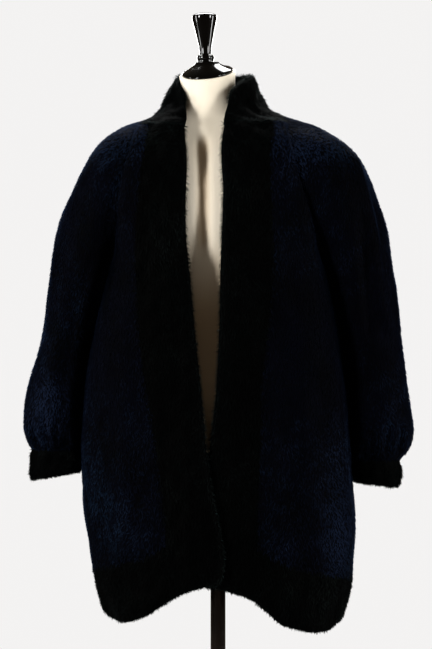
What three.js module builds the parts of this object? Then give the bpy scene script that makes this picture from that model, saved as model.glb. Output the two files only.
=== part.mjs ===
// An open, knee-length coat of sheared fur on a limbless dress form and its stand.
//
// Millimetres, +Z up, the coat's front faces -Y, the floor is Z = 0 and the stand's pole is the
// Z axis. Right and left are the wearer's, so the right side lies at -X. Every cloth piece is a
// thick wall: its outer face is a grid of points worked out from the tables below, and its inner
// face is that grid moved in along normals that neighbouring pieces share at their seams.
import * as THREE from "three";
import { mergeVertices } from "three/addons/utils/BufferGeometryUtils.js";

// ---------------------------------------------------------------- driving dimensions
const WALL = 11; // pelt and standing pile of the coat
const COLLAR_HOLLOW = 7; // how far the standing collar curves in between its edges
const COLLAR_WALL = 9; // the collar's pile is pressed flatter
const SEAM_GAP = 0.3; // between two sewn pieces
const RAGLAN_MITRE = { body: 1.4, loop: 0.6 }; // weights in its rims' direction; the arm's is 1
const UNDERARM_Z = 1120; // where the raglan seam turns under the arm
const SIDE_SEAM_Y = 8; // the side seam, slightly behind the middle
const BACK_NECK_Z = 1442; // top of the back at its centre
const NECK_ARC = 25; // degrees of the raglan loop, each way, that meet the collar
const CENTRE_BACK_LIFT = 55; // the hem is this much higher at the centre back than at the sides
const SLEEVE_CLEARANCE = 2; // between a hanging sleeve and the coat's side
const SQUARENESS = { front: 2.5, back: 2.4, underarm: 3.4, sleeveOuter: 2.2, sleeveInner: 2.6, form: 2.3 };
const LAP = { middle: -10, full: 745, none: 860, offset: 8, inner: 30, outer: 100 };

const POLE_RADIUS = 15;
const FORM_BOTTOM_Z = 765;
const FORM_LEAN = 1.6; // degrees, toward the wearer's right
const REST_GAP = 0.3; // between stacked pieces of the stand

// Grid counts.
const RAGLAN_STEPS = 14; // rows from the neck to the underarm
const SKIRT_STEPS = 9; // rows from the underarm to the hem band
const HEM_STEPS = 3;
const BAND_STEPS = 4; // columns across a front band
const FRONT_STEPS = 6; // columns across a navy front
const BACK_STEPS = 6; // columns across each half of the back
const NECK_STEPS = 4; // columns along the part of a sleeve's top that meets the collar
const SLEEVE_RINGS = 15;
const CUFF_RINGS = 3;

// ---------------------------------------------------------------- tables
// Depth of the body by height, for both sides: front and back at the centre, the raglan
// loop's deepest points excepted.
const DEPTHS = [
  { z: 1445, front: -74, back: 88 },
  { z: 1421, front: -94, back: 95 },
  { z: 1400, front: -108, back: 102 },
  { z: 1350, front: -128, back: 114 },
  { z: 1290, front: -141, back: 124 },
  { z: 1150, front: -152, back: 136 },
  { z: 1000, front: -157, back: 146 },
  { z: 850, front: -160, back: 152 },
  { z: 700, front: -162, back: 156 },
  { z: 560, front: -160, back: 155 },
  { z: 420, front: -150, back: 147 },
];

// Each side's own lines, measured outward from the pole's axis.
// sleeve, cuff: rings down the arm. t is the outer line and u the inner one, y the ring's middle,
// front and back its depths there, out and up how far its deepest points lie off the middle.
// lines: edge is the front's free edge, band the seam between band and front.
// outline: the raglan seam above the underarm, the side seam below it.
// hem: the hem band's top and bottom by their share of the way from the centre to the side seam.
const SIDES = {
  right: {
    sign: -1,
    raglan: { top: 1428, front: 118, back: 116 },
    lap: -1,
    lines: [
      { z: 1440, edge: 67, band: 128 },
      { z: 1401, edge: 66, band: 139 },
      { z: 1330, edge: 61, band: 149 },
      { z: 1250, edge: 63.5, band: 159 },
      { z: 1180, edge: 62.5, band: 161 },
      { z: 1110, edge: 55, band: 160 },
      { z: 1010, edge: 46.5, band: 155 },
      { z: 890, edge: 34, band: 141 },
      { z: 800, edge: 26, band: 123 },
      { z: 730, edge: 20, band: 115 },
      { z: 690, edge: 12, band: 111 },
      { z: 610, edge: -3, band: 102 },
      { z: 557, edge: -11, band: 99 },
      { z: 526, edge: -7, band: 98 },
      { z: 508, edge: 2, band: 98 },
      { z: 430, edge: 2, band: 98 },
    ],
    outline: [
      { z: 1428, x: 139 },
      { z: 1402, x: 163 },
      { z: 1344, x: 178 },
      { z: 1276, x: 194 },
      { z: 1192, x: 202 },
      { z: 1120, x: 215 },
      { z: 1062, x: 231 },
      { z: 946, x: 256 },
      { z: 840, x: 268 },
      { z: 742, x: 273 },
      { z: 658, x: 268 },
      { z: 532, x: 247 },
      { z: 478, x: 236 },
      { z: 430, x: 220 },
    ],
    hem: [
      { share: 0, top: 590, bottom: 510 },
      { share: 0.21, top: 590, bottom: 503 },
      { share: 0.41, top: 590, bottom: 483 },
      { share: 0.465, top: 574, bottom: 472 },
      { share: 0.55, top: 561, bottom: 458 },
      { share: 0.69, top: 556, bottom: 441 },
      { share: 0.86, top: 543, bottom: 430 },
      { share: 1, top: 531, bottom: 437 },
    ],
    collarEdge: [
      { q: 0, x: 66, y: -90, z: 1421 },
      { q: 0.12, x: 65, y: -74, z: 1440 },
      { q: 0.26, x: 72, y: -50, z: 1462 },
      { q: 0.4, x: 83, y: -20, z: 1488 },
      { q: 0.55, x: 85, y: 8, z: 1504 },
      { q: 0.7, x: 78, y: 40, z: 1513 },
      { q: 0.85, x: 52, y: 66, z: 1513 },
      { q: 1, x: 14, y: 78, z: 1512 },
    ],
    sleeve: [
      { s: 0, tx: 139, tz: 1428, uz: 1120, y: 0, front: 118, back: 116, out: 14, up: 0 },
      { s: 1, tx: 206, tz: 1405, uz: 1106, y: 1, front: 122, back: 119, out: 12, up: 8 },
      { s: 2, tx: 254, tz: 1355, uz: 1088, y: 3, front: 117, back: 115, out: 14, up: 10 },
      { s: 3, tx: 288, tz: 1290, uz: 1060, y: 6, front: 106, back: 106, out: 8, up: 4 },
      { s: 4, tx: 323, tz: 1208, uz: 1022, y: 9, front: 96, back: 97, out: 4, up: 0 },
      { s: 5, tx: 340, tz: 1100, uz: 970, y: 12, front: 88, back: 89, out: 2, up: 0 },
      { s: 6, tx: 352, tz: 1000, uz: 915, y: 14, front: 84, back: 84, out: 0, up: 0 },
      { s: 7, tx: 372, tz: 925, uz: 868, y: 16, front: 82, back: 82, out: 0, up: 0 },
      { s: 8, tx: 391, tz: 862, uz: 828, y: 17, front: 79, back: 79, out: 0, up: 0 },
      { s: 9, tx: 395, tz: 812, uz: 799, y: 17, front: 70, back: 70, out: 0, up: 0 },
      { s: 10, tx: 387, tz: 782, uz: 780, y: 17, front: 57, back: 57, out: 0, up: 0 },
      { s: 11, tx: 376, tz: 766, uz: 767, y: 17, front: 46, back: 46, out: 0, up: 0 },
    ],
    cuff: [
      { s: 0, tx: 376, tz: 766, uz: 767, y: 17, front: 46, back: 46 },
      { s: 1, tx: 380, tz: 750, uz: 755, y: 17, front: 50, back: 50 },
      { s: 2, tx: 381, tz: 726, uz: 738, y: 17, front: 51, back: 51 },
      { s: 3, tx: 378, tz: 703, uz: 720, y: 17, front: 49, back: 49 },
    ],
  },
  left: {
    sign: 1,
    raglan: { top: 1434, front: 118, back: 116 },
    lap: 1,
    lines: [
      { z: 1440, edge: 16, band: 110 },
      { z: 1401, edge: 10.5, band: 110 },
      { z: 1350, edge: 6, band: 102 },
      { z: 1300, edge: 9, band: 103 },
      { z: 1240, edge: 9.5, band: 105 },
      { z: 1140, edge: 5, band: 108 },
      { z: 1030, edge: 3, band: 101 },
      { z: 925, edge: -1, band: 87 },
      { z: 820, edge: -9, band: 83 },
      { z: 740, edge: -21, band: 80.5 },
      { z: 700, edge: -26, band: 79.5 },
      { z: 610, edge: -26, band: 77 },
      { z: 506, edge: -22, band: 74 },
      { z: 430, edge: -22, band: 74 },
    ],
    outline: [
      { z: 1434, x: 128 },
      { z: 1399, x: 139 },
      { z: 1326, x: 155 },
      { z: 1249, x: 178 },
      { z: 1153, x: 203 },
      { z: 1120, x: 211 },
      { z: 1026, x: 232 },
      { z: 951, x: 244 },
      { z: 888, x: 253 },
      { z: 795, x: 261 },
      { z: 744, x: 265 },
      { z: 648, x: 272.5 },
      { z: 560, x: 271 },
      { z: 520, x: 268 },
      { z: 464, x: 257 },
      { z: 418, x: 240 },
    ],
    hem: [
      { share: 0, top: 592, bottom: 503 },
      { share: 0.18, top: 590, bottom: 489 },
      { share: 0.295, top: 582, bottom: 478 },
      { share: 0.335, top: 562, bottom: 464 },
      { share: 0.4, top: 549, bottom: 447 },
      { share: 0.5, top: 545, bottom: 432 },
      { share: 0.63, top: 538, bottom: 420 },
      { share: 0.78, top: 528, bottom: 412 },
      { share: 0.9, top: 521, bottom: 414 },
      { share: 1, top: 516, bottom: 426 },
    ],
    collarEdge: [
      { q: 0, x: 12, y: -92, z: 1421 },
      { q: 0.1, x: 16, y: -84, z: 1437 },
      { q: 0.2, x: 24, y: -72, z: 1458 },
      { q: 0.32, x: 38, y: -58, z: 1480 },
      { q: 0.43, x: 60, y: -34, z: 1497 },
      { q: 0.54, x: 70, y: -8, z: 1506 },
      { q: 0.66, x: 67, y: 22, z: 1511 },
      { q: 0.76, x: 52, y: 46, z: 1512 },
      { q: 0.86, x: 28, y: 64, z: 1512 },
      { q: 1, x: -14, y: 78, z: 1512 },
    ],
    sleeve: [
      { s: 0, tx: 128, tz: 1434, uz: 1120, y: 0, front: 118, back: 116, out: 4, up: 0 },
      { s: 1, tx: 207, tz: 1410, uz: 1106, y: 1, front: 122, back: 119, out: 8, up: 8 },
      { s: 2, tx: 268, tz: 1366, uz: 1088, y: 3, front: 118, back: 115, out: 14, up: 10 },
      { s: 3, tx: 305, tz: 1300, uz: 1060, y: 6, front: 107, back: 106, out: 8, up: 4 },
      { s: 4, tx: 337, tz: 1218, uz: 1022, y: 9, front: 97, back: 97, out: 4, up: 0 },
      { s: 5, tx: 356, tz: 1110, uz: 968, y: 12, front: 89, back: 89, out: 2, up: 0 },
      { s: 6, tx: 367, tz: 1005, uz: 912, y: 14, front: 85, back: 85, out: 0, up: 0 },
      { s: 7, tx: 378, tz: 915, uz: 862, y: 16, front: 83, back: 83, out: 0, up: 0 },
      { s: 8, tx: 390, tz: 845, uz: 816, y: 17, front: 80, back: 80, out: 0, up: 0 },
      { s: 9, tx: 395, tz: 797, uz: 784, y: 17, front: 70, back: 70, out: 0, up: 0 },
      { s: 10, tx: 384, tz: 763, uz: 762, y: 17, front: 57, back: 57, out: 0, up: 0 },
      { s: 11, tx: 367, tz: 744, uz: 748, y: 17, front: 46, back: 46, out: 0, up: 0 },
    ],
    cuff: [
      { s: 0, tx: 367, tz: 744, uz: 748, y: 17, front: 46, back: 46 },
      { s: 1, tx: 370, tz: 730, uz: 737, y: 17, front: 50, back: 50 },
      { s: 2, tx: 371, tz: 708, uz: 718, y: 17, front: 51, back: 51 },
      { s: 3, tx: 367, tz: 688, uz: 699, y: 17, front: 49, back: 49 },
    ],
  },
};

// Folds drawn in round a sleeve: count is how many go round, depth their rise by ring.
const CUFF_GATHERS = { count: 8, phase: 0.6, from: 8, deepest: 10.2, to: 11, depth: 3.2 };
const SHOULDER_GATHERS = { count: 16, phase: 0.4, deepest: 1.4, to: 4, depth: 2.6, middle: 52, reach: 34 };

// Dress form, by height in its own leaning frame.
const FORM_SECTIONS = [
  { z: 765, half: 150, front: 95, back: 100 },
  { z: 773, half: 156, front: 100, back: 105 },
  { z: 820, half: 165, front: 104, back: 112 },
  { z: 890, half: 166, front: 104, back: 114 },
  { z: 965, half: 152, front: 97, back: 103 },
  { z: 1040, half: 130, front: 88, back: 88 },
  { z: 1120, half: 142, front: 102, back: 92 },
  { z: 1200, half: 155, front: 116, back: 100 },
  { z: 1250, half: 161, front: 120, back: 104 },
  { z: 1310, half: 166, front: 108, back: 104 },
  { z: 1355, half: 170, front: 92, back: 98 },
  { z: 1382, half: 170, front: 80, back: 90 },
  { z: 1399, half: 164, front: 72, back: 82 },
  { z: 1408, half: 152, front: 67, back: 76 },
  { z: 1415, half: 134, front: 62, back: 70 },
  { z: 1421.5, half: 110, front: 58, back: 65 },
  { z: 1428, half: 86, front: 55, back: 60 },
  { z: 1440, half: 67, front: 53, back: 57 },
  { z: 1456, half: 57, front: 52, back: 55 },
  { z: 1480, half: 54, front: 52, back: 53 },
  { z: 1517, half: 56.5, front: 54, back: 54 },
];
const NECK_CUT = { from: 1456, to: 1517, forward: 18, roll: 4.6 }; // degrees of tilt at the top
const CAP_PROFILE = [
  { radius: 51, rise: 0, tilt: 1 },
  { radius: 52, rise: 3, tilt: 1 },
  { radius: 50, rise: 6, tilt: 0.95 },
  { radius: 38, rise: 12, tilt: 0.6 },
  { radius: 27, rise: 17.5, tilt: 0.25 },
  { radius: 25, rise: 21, tilt: 0 },
  { radius: 19, rise: 22.5, tilt: 0 },
];
// The turned finial above the cap: radius and height from its foot.
const FINIAL_PROFILE = [
  { radius: 16, height: 0 },
  { radius: 16, height: 3.5 },
  { radius: 18, height: 5.5 },
  { radius: 18, height: 10.5 },
  { radius: 16, height: 13 },
  { radius: 11.8, height: 15 },
  { radius: 11.5, height: 21 },
  { radius: 13.4, height: 34 },
  { radius: 20, height: 64 },
  { radius: 25.4, height: 86 },
  { radius: 26, height: 91 },
  { radius: 24, height: 94.5 },
  { radius: 14, height: 97.8 },
];
const FINIAL_TOP = 99;
const FINIAL_OFFSET = 3; // it stands a little off the neck's middle
// The foot of the stand: a low turned disc with a socket for the pole.
const BASE_PROFILE = [
  { radius: 196, height: 0 },
  { radius: 200, height: 4 },
  { radius: 200, height: 14 },
  { radius: 194, height: 19 },
  { radius: 60, height: 28 },
  { radius: 34, height: 36 },
  { radius: 24, height: 52 },
  { radius: 23, height: 78 },
];

// ---------------------------------------------------------------- small mathematics
const RAD = Math.PI / 180;
const clamp = (v, low = 0, high = 1) => Math.min(high, Math.max(low, v));
const lerp = (a, b, t) => a + (b - a) * t;
const smooth = (t) => clamp(t) ** 2 * (3 - 2 * clamp(t));
const power = (v, n) => Math.sign(v) * Math.abs(v) ** (2 / n);

// A smooth curve through a table's rows: reads one column at a place along the key column.
function reader(rows, key) {
  const sorted = [...rows].sort((a, b) => a[key] - b[key]);
  const at = sorted.map((row) => row[key]);
  return (place, column) => {
    const k = clamp(place, at[0], at.at(-1));
    const i = clamp(at.findIndex((value) => value >= k) - 1, 0, at.length - 2);
    const value = (j) => sorted[j][column];
    const slope = (j) => {
      const low = Math.max(j - 1, 0);
      const high = Math.min(j + 1, at.length - 1);
      return (value(high) - value(low)) / (at[high] - at[low]);
    };
    const span = at[i + 1] - at[i];
    const t = (k - at[i]) / span;
    const bend = t * (1 - t) * span * ((1 - t) * slope(i) - t * slope(i + 1));
    const straight = lerp(value(i), value(i + 1), t * t * (3 - 2 * t));
    return straight + bend;
  };
}

const depthAt = reader(DEPTHS, "z");
const formAt = reader(FORM_SECTIONS, "z");

// ---------------------------------------------------------------- the body of the coat
// The raglan loop at an angle from its top: front for positive, back for negative.
function raglanPoint(side, degrees) {
  const { top, front, back } = side.raglan;
  const z = lerp(UNDERARM_Z, top, (1 + Math.cos(degrees * RAD)) / 2);
  const deep = Math.sin(degrees * RAD);
  const y = SIDE_SEAM_Y * (1 - Math.cos(degrees * RAD)) / 2 - deep * (deep > 0 ? front : back);
  return new THREE.Vector3(side.outlineAt(z, "x"), y, z);
}

// The rows of a side's body, top to bottom: where each meets the raglan or side seam.
function bodyRows(side) {
  const rows = [];
  for (let i = 0; i <= RAGLAN_STEPS; i++) {
    const degrees = lerp(NECK_ARC, 180, i / RAGLAN_STEPS);
    const down = i / RAGLAN_STEPS;
    rows.push({ stretch: "raglan", down, front: raglanPoint(side, degrees), back: raglanPoint(side, -degrees) });
  }
  const hemAtSide = side.hem.at(-1);
  for (let i = 1; i <= SKIRT_STEPS + HEM_STEPS; i++) {
    const inSkirt = i <= SKIRT_STEPS;
    const down = inSkirt ? i / SKIRT_STEPS : (i - SKIRT_STEPS) / HEM_STEPS;
    const high = inSkirt ? UNDERARM_Z : hemAtSide.top;
    const low = inSkirt ? hemAtSide.top : hemAtSide.bottom;
    const z = lerp(high, low, down);
    const seam = new THREE.Vector3(side.outlineAt(z, "x"), SIDE_SEAM_Y, z);
    rows.push({ stretch: inSkirt ? "skirt" : "hem", down, front: seam, back: seam });
  }
  return rows;
}

// Height of a row at a distance x from the centre: level with its seam end at the seam, evenly
// spaced at the centre, and following the hem toward the bottom.
function rowHeight(row, seam, x, neckTop, hemTop, hemBottom) {
  const share = clamp(x / seam.x);
  if (row.stretch === "raglan") {
    const even = lerp(neckTop, UNDERARM_Z, row.down);
    return lerp(even, seam.z, smooth(share * 1.6 - 0.6));
  }
  return row.stretch === "skirt" ? lerp(UNDERARM_Z, hemTop, row.down) : lerp(hemTop, hemBottom, row.down);
}

// How square a body section is: squarer near the underarm, so the skirt carries on the chest.
function squareness(row, seam, usual) {
  const reach = row.stretch === "raglan"
    ? smooth((90 - Math.abs(seam.y)) / (90 - SIDE_SEAM_Y)) * smooth(row.down * 3 - 2)
    : 1 - smooth(row.stretch === "skirt" ? row.down * 1.5 : 1);
  return lerp(usual, SQUARENESS.underarm, reach);
}

// How far a front moves forward or back where the two fronts lie over each other.
function lapOffset(side, x, z) {
  const low = smooth((LAP.none - z) / (LAP.none - LAP.full));
  const near = 1 - smooth((Math.abs(side.sign * x - LAP.middle) - LAP.inner) / (LAP.outer - LAP.inner));
  return side.lap * LAP.offset * low * near;
}

// A point of a side's front at a distance x from the centre.
function frontPoint(side, row, x) {
  const seam = row.front;
  const share = x / seam.x;
  const z = rowHeight(row, seam, x, side.neckFrontZ, side.hemAt(share, "top"), side.hemAt(share, "bottom"));
  const n = squareness(row, seam, SQUARENESS.front);
  const round = (1 - clamp(share) ** n) ** (1 / n);
  const y = seam.y - (seam.y - depthAt(z, "front")) * round;
  return new THREE.Vector3(side.sign * x, y + lapOffset(side, x, z), z);
}

// The free edge or the band seam crosses a row where its own table says, at the row's height.
function lineOnRow(side, row, column) {
  let z = row.front.z;
  for (let pass = 0; pass < 6; pass++) {
    z = frontPoint(side, row, side.linesAt(z, column)).z;
  }
  return side.linesAt(z, column);
}

const bandRow = (side, row) => {
  const edge = lineOnRow(side, row, "edge");
  const seam = lineOnRow(side, row, "band");
  return range(BAND_STEPS).map((t) => frontPoint(side, row, lerp(edge, seam, t)));
};

const frontRow = (side, row) => {
  const n = squareness(row, row.front, SQUARENESS.front);
  const share = lineOnRow(side, row, "band") / row.front.x;
  const start = Math.asin(clamp(share) ** (n / 2));
  return range(FRONT_STEPS).map((t) => {
    const angle = lerp(start, Math.PI / 2, t);
    return frontPoint(side, row, row.front.x * power(Math.sin(angle), n));
  });
};

// Half of a row of the back, from the side's seam to the centre.
const backRow = (side, row) =>
  range(BACK_STEPS).map((t) => {
    const seam = row.back;
    const angle = lerp(Math.PI / 2, 0, t);
    const n = squareness(row, seam, SQUARENESS.back);
    const x = seam.x * power(Math.sin(angle), n);
    const lift = CENTRE_BACK_LIFT * (1 - smooth(x / seam.x));
    const { top, bottom } = side.hem.at(-1);
    const z = rowHeight(row, seam, x, BACK_NECK_Z, top + lift, bottom + lift);
    const y = seam.y + (depthAt(z, "back") - seam.y) * power(Math.cos(angle), n);
    return new THREE.Vector3(side.sign * x, y, z);
  });

function range(steps) {
  return Array.from({ length: steps + 1 }, (_, i) => i / steps);
}

// ---------------------------------------------------------------- sleeves and cuffs
// The angles round a sleeve: down its front, up its back, then along its top.
function sleeveAngles() {
  const front = range(RAGLAN_STEPS).map((t) => lerp(NECK_ARC, 180, t));
  const back = range(RAGLAN_STEPS).map((t) => lerp(180, 360 - NECK_ARC, t));
  const top = range(NECK_STEPS).map((t) => lerp(360 - NECK_ARC, 360 + NECK_ARC, t));
  return [...front, ...back.slice(1), ...top.slice(1, -1)];
}

// A ring between its outer line t, its inner line u and its front and back depths.
function ringPoint(ring, degrees) {
  const c = Math.cos(degrees * RAD);
  const s = Math.sin(degrees * RAD);
  const n = c > 0 ? SQUARENESS.sleeveOuter : SQUARENESS.sleeveInner;
  const along = power(c, n);
  const deep = power(s, n);
  const x = lerp(ring.ux, ring.tx, (1 + along) / 2) + Math.abs(deep) * (ring.out ?? 0);
  const z = lerp(ring.uz, ring.tz, (1 + along) / 2) + Math.abs(deep) * (ring.up ?? 0);
  const y = ring.y - deep * (deep > 0 ? ring.front : ring.back);
  return new THREE.Vector3(x, y, z);
}

const columnsAt = (readRow, place, columns) =>
  Object.fromEntries(columns.map((column) => [column, readRow(place, column)]));

const CUFF_COLUMNS = ["tx", "tz", "uz", "y", "front", "back"];
const RING_COLUMNS = [...CUFF_COLUMNS, "out", "up"];

// A ring's sizes at a place along its table, its inner line just clear of the coat's side.
function ringAt(side, readRow, place, columns) {
  const ring = columnsAt(readRow, place, columns);
  const clear = SLEEVE_CLEARANCE * smooth((UNDERARM_Z - ring.uz) / 20);
  return { ...ring, ux: side.outlineAt(ring.uz, "x") + clear };
}

// How far a gather lifts the sleeve at a ring and an angle.
function gatherLift(place, degrees) {
  const g = CUFF_GATHERS;
  const rise = place < g.deepest
    ? smooth((place - g.from) / (g.deepest - g.from))
    : smooth((g.to - place) / (g.to - g.deepest));
  const low = g.depth * rise * Math.cos(g.count * degrees * RAD + g.phase);
  const h = SHOULDER_GATHERS;
  const turn = Math.abs(((degrees + 180) % 360) - 180);
  const close = smooth(1 - Math.abs(turn - h.middle) / h.reach);
  const near = place < h.deepest ? smooth(place / h.deepest) : smooth((h.to - place) / (h.to - h.deepest));
  return low + h.depth * close * near * Math.cos(h.count * degrees * RAD + h.phase);
}

function sleeveGrid(side) {
  const readRow = reader(side.sleeve, "s");
  const angles = sleeveAngles();
  const rings = side.sleeve.at(-1).s;
  const seam = angles.map((a) => raglanPoint(side, a > 180 ? a - 360 : a));
  const first = ringAt(side, readRow, 0, RING_COLUMNS);
  return range(SLEEVE_RINGS).map((t) => {
    const place = rings * t ** 0.94;
    const ring = ringAt(side, readRow, place, RING_COLUMNS);
    const keep = (1 - smooth(place / 2.5)) ** 1.5;
    const centre = new THREE.Vector3((ring.tx + ring.ux) / 2, ring.y, (ring.tz + ring.uz) / 2);
    return angles.map((a, i) => {
      const p = ringPoint(ring, a);
      const outward = p.clone().sub(centre).normalize();
      p.addScaledVector(outward, gatherLift(place, a));
      p.add(seam[i].clone().sub(ringPoint(first, a)).multiplyScalar(keep));
      return p.setX(p.x * side.sign);
    });
  });
}

function cuffGrid(side) {
  const readRow = reader(side.cuff, "s");
  const angles = sleeveAngles();
  return range(CUFF_RINGS).map((t) => {
    const ring = ringAt(side, readRow, t * CUFF_RINGS, CUFF_COLUMNS);
    return angles.map((a) => {
      const p = ringPoint(ring, a);
      return p.setX(p.x * side.sign);
    });
  });
}

// ---------------------------------------------------------------- collar
// The neck seam of one side, from the band to the centre back.
function neckSeam(side, rows) {
  const front = frontRow(side, rows[0]);
  const top = range(NECK_STEPS).map((t) => {
    const p = raglanPoint(side, lerp(NECK_ARC, -NECK_ARC, t));
    return p.setX(p.x * side.sign);
  });
  return [...front, ...top.slice(1), ...backRow(side, rows[0]).slice(1)];
}

// One side of the collar: a row of points across it at each point of the neck seam.
function collarStations(side, rows) {
  const seam = neckSeam(side, rows);
  const along = [0];
  seam.slice(1).forEach((p, i) => along.push(along[i] + p.distanceTo(seam[i])));
  const readEdge = reader(side.collarEdge, "q");
  const start = bandRow(side, rows[0]);
  const edgeAt = (q) => new THREE.Vector3(side.sign * readEdge(q, "x"), readEdge(q, "y"), readEdge(q, "z"));
  const startMiss = start[0].clone().sub(edgeAt(0));
  return seam.map((p, i) => {
    const q = along[i] / along.at(-1);
    const edge = edgeAt(q).addScaledVector(startMiss, 1 - smooth(q / 0.3));
    return range(BAND_STEPS).map((t, j) => {
      const straightStart = start[0].clone().lerp(start.at(-1), t);
      const curl = start[j].clone().sub(straightStart).multiplyScalar(1 - smooth(q / 0.3));
      const hollow = COLLAR_HOLLOW * Math.sin(Math.PI * t) * Math.sin(Math.PI * smooth(q));
      const inward = new THREE.Vector3(-p.x, -p.y, 0).setLength(hollow);
      return edge.clone().lerp(p, t).add(curl).add(inward);
    });
  });
}

// ---------------------------------------------------------------- grids to solids
// Grid rows run down or along a piece; "flip" says which way round its face looks outward.
function quadFaces(rows, columns, closed) {
  const faces = [];
  for (let r = 0; r + 1 < rows; r++) {
    for (let c = 0; c < (closed ? columns : columns - 1); c++) {
      const d = (c + 1) % columns;
      faces.push([r * columns + c, (r + 1) * columns + c, (r + 1) * columns + d, r * columns + d]);
    }
  }
  return faces;
}

const placeKey = (p) => `${Math.round(p.x * 100)},${Math.round(p.y * 100)},${Math.round(p.z * 100)}`;

// The way out of the raglan loop at one of its points, in the loop's own plane.
function wayOutOfLoop(p) {
  const { raglan } = p.x < 0 ? SIDES.right : SIDES.left;
  return new THREE.Vector3(0, p.y, p.z - (UNDERARM_Z + raglan.top) / 2).normalize();
}

// Outward normals at every point, shared wherever pieces have a point in common. Body, arm and
// the loop's own plane each count at the raglan seam, whose walls meet in a mitre even under the
// arm, where they hang back to back.
function sharedNormals(pieces) {
  const sums = { body: new Map(), arm: new Map() };
  const owners = new Map();
  for (const { name, grid, closed, flip } of pieces) {
    const part = sums[closed ? "arm" : "body"];
    const points = grid.flat();
    for (const [a, b, c, d] of quadFaces(grid.length, grid[0].length, closed)) {
      const across = points[c].clone().sub(points[a]);
      const normal = across.cross(points[d].clone().sub(points[b])).multiplyScalar(flip ? -1 : 1);
      for (const i of [a, b, c, d]) {
        const key = placeKey(points[i]);
        part.set(key, (part.get(key) ?? new THREE.Vector3()).add(normal));
        owners.set(key, (owners.get(key) ?? new Set()).add(name));
      }
    }
  }
  const normalAt = (p) => {
    const key = placeKey(p);
    const [body, arm] = [sums.body.get(key), sums.arm.get(key)];
    if (!body || !arm) return (body ?? arm).clone().normalize();
    const mitre = body.clone().setLength(RAGLAN_MITRE.body).add(arm.clone().normalize());
    return mitre.addScaledVector(wayOutOfLoop(p), RAGLAN_MITRE.loop).normalize();
  };
  const ownersAt = (p) => owners.get(placeKey(p)).size;
  const onRaglan = (p) => {
    const key = placeKey(p);
    return sums.body.has(key) && sums.arm.has(key) && !owners.get(key).has("collar");
  };
  return { normalAt, ownersAt, onRaglan };
}

// How far each point of a grid moves to leave half a seam's gap: square to the seam and to the
// shared normal there, toward the piece's own side, so both pieces' rims stay parallel. The arm
// is always the outer side of a raglan seam. At the underarm, where a front, the back and a
// sleeve meet, the front and the back also part in Y.
function seamShifts({ grid, seams, closed, underarm = 0 }) {
  const shifts = grid.map((row) => row.map(() => new THREE.Vector3()));
  const lastR = grid.length - 1;
  const lastC = grid[0].length - 1;
  const alongY = new THREE.Vector3(0, 1, 0);
  const pull = (r, c, inner, before, after) => {
    const atUnderarm = underarm && r === RAGLAN_STEPS;
    const along = atUnderarm ? alongY.clone() : after.clone().sub(before).normalize();
    const away = along.cross(normalAt(grid[r][c])).setLength(SEAM_GAP / 2);
    const outOfBody = new THREE.Vector3(grid[r][c].x, 0, 0).multiplyScalar(closed ? 1 : -1);
    const inward = onRaglan(grid[r][c]) ? outOfBody : inner.clone().sub(grid[r][c]);
    shifts[r][c].addScaledVector(away, Math.sign(away.dot(inward)));
  };
  const across = (r, c) => grid[r][closed ? (c + lastC + 1) % (lastC + 1) : clamp(c, 0, lastC)];
  const down = (r, c) => grid[clamp(r, 0, lastR)][c];
  grid[0].forEach((_, c) => {
    if (seams.includes("top")) pull(0, c, grid[1][c], across(0, c - 1), across(0, c + 1));
    if (seams.includes("bottom")) {
      pull(lastR, c, grid[lastR - 1][c], across(lastR, c - 1), across(lastR, c + 1));
    }
  });
  grid.forEach((_, r) => {
    if (seams.includes("start")) pull(r, 0, grid[r][1], down(r - 1, 0), down(r + 1, 0));
    if (seams.includes("end")) pull(r, lastC, grid[r][lastC - 1], down(r - 1, lastC), down(r + 1, lastC));
  });
  for (const c of [0, lastC]) {
    shifts[RAGLAN_STEPS]?.[c].add(new THREE.Vector3(0, underarm * SEAM_GAP / 2, 0));
  }
  return shifts;
}

// Whether a rim's quad between two outline points is split from p's outer point to q's inner
// one: along the shorter diagonal. It asks the untrimmed points, so both pieces at a seam agree.
function splitFrom(p, q) {
  const innerOf = (point) => point.clone().addScaledVector(normalAt(point), -WALL);
  const fromP = p.distanceTo(innerOf(q));
  const fromQ = q.distanceTo(innerOf(p));
  const order = (point) => point.z + 0.37 * point.x + 0.11 * point.y;
  return Math.abs(fromP - fromQ) > 1e-3 ? fromP < fromQ : order(p) > order(q);
}

// Triangles of a wall between an outer grid and an inner one, rims included.
function wallGeometry(grid, outer, inner, closed, flip) {
  const rows = outer.length;
  const columns = outer[0].length;
  const positions = [...outer.flat(), ...inner.flat()].flatMap((p) => [p.x, p.y, p.z]);
  const untrimmed = grid.flat();
  const shift = rows * columns;
  const triangles = [];
  const quad = (a, b, c, d) => triangles.push(a, b, c, a, c, d);
  for (const [a, b, c, d] of quadFaces(rows, columns, closed)) {
    quad(a, b, c, d);
    quad(d + shift, c + shift, b + shift, a + shift);
  }
  const rim = (a, b) => {
    if (splitFrom(untrimmed[a], untrimmed[b])) {
      triangles.push(a, b, b + shift, a, b + shift, a + shift);
    } else {
      triangles.push(a, b, a + shift, b, b + shift, a + shift);
    }
  };
  for (let c = 0; c < (closed ? columns : columns - 1); c++) {
    const d = (c + 1) % columns;
    rim(c, d);
    rim((rows - 1) * columns + d, (rows - 1) * columns + c);
  }
  for (let r = 0; !closed && r + 1 < rows; r++) {
    rim((r + 1) * columns, r * columns);
    rim(r * columns + columns - 1, (r + 1) * columns + columns - 1);
  }
  return indexedGeometry(positions, flip ? triangles : turned(triangles));
}

function turned(triangles) {
  const out = [];
  for (let i = 0; i < triangles.length; i += 3) {
    out.push(triangles[i], triangles[i + 2], triangles[i + 1]);
  }
  return out;
}

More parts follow.
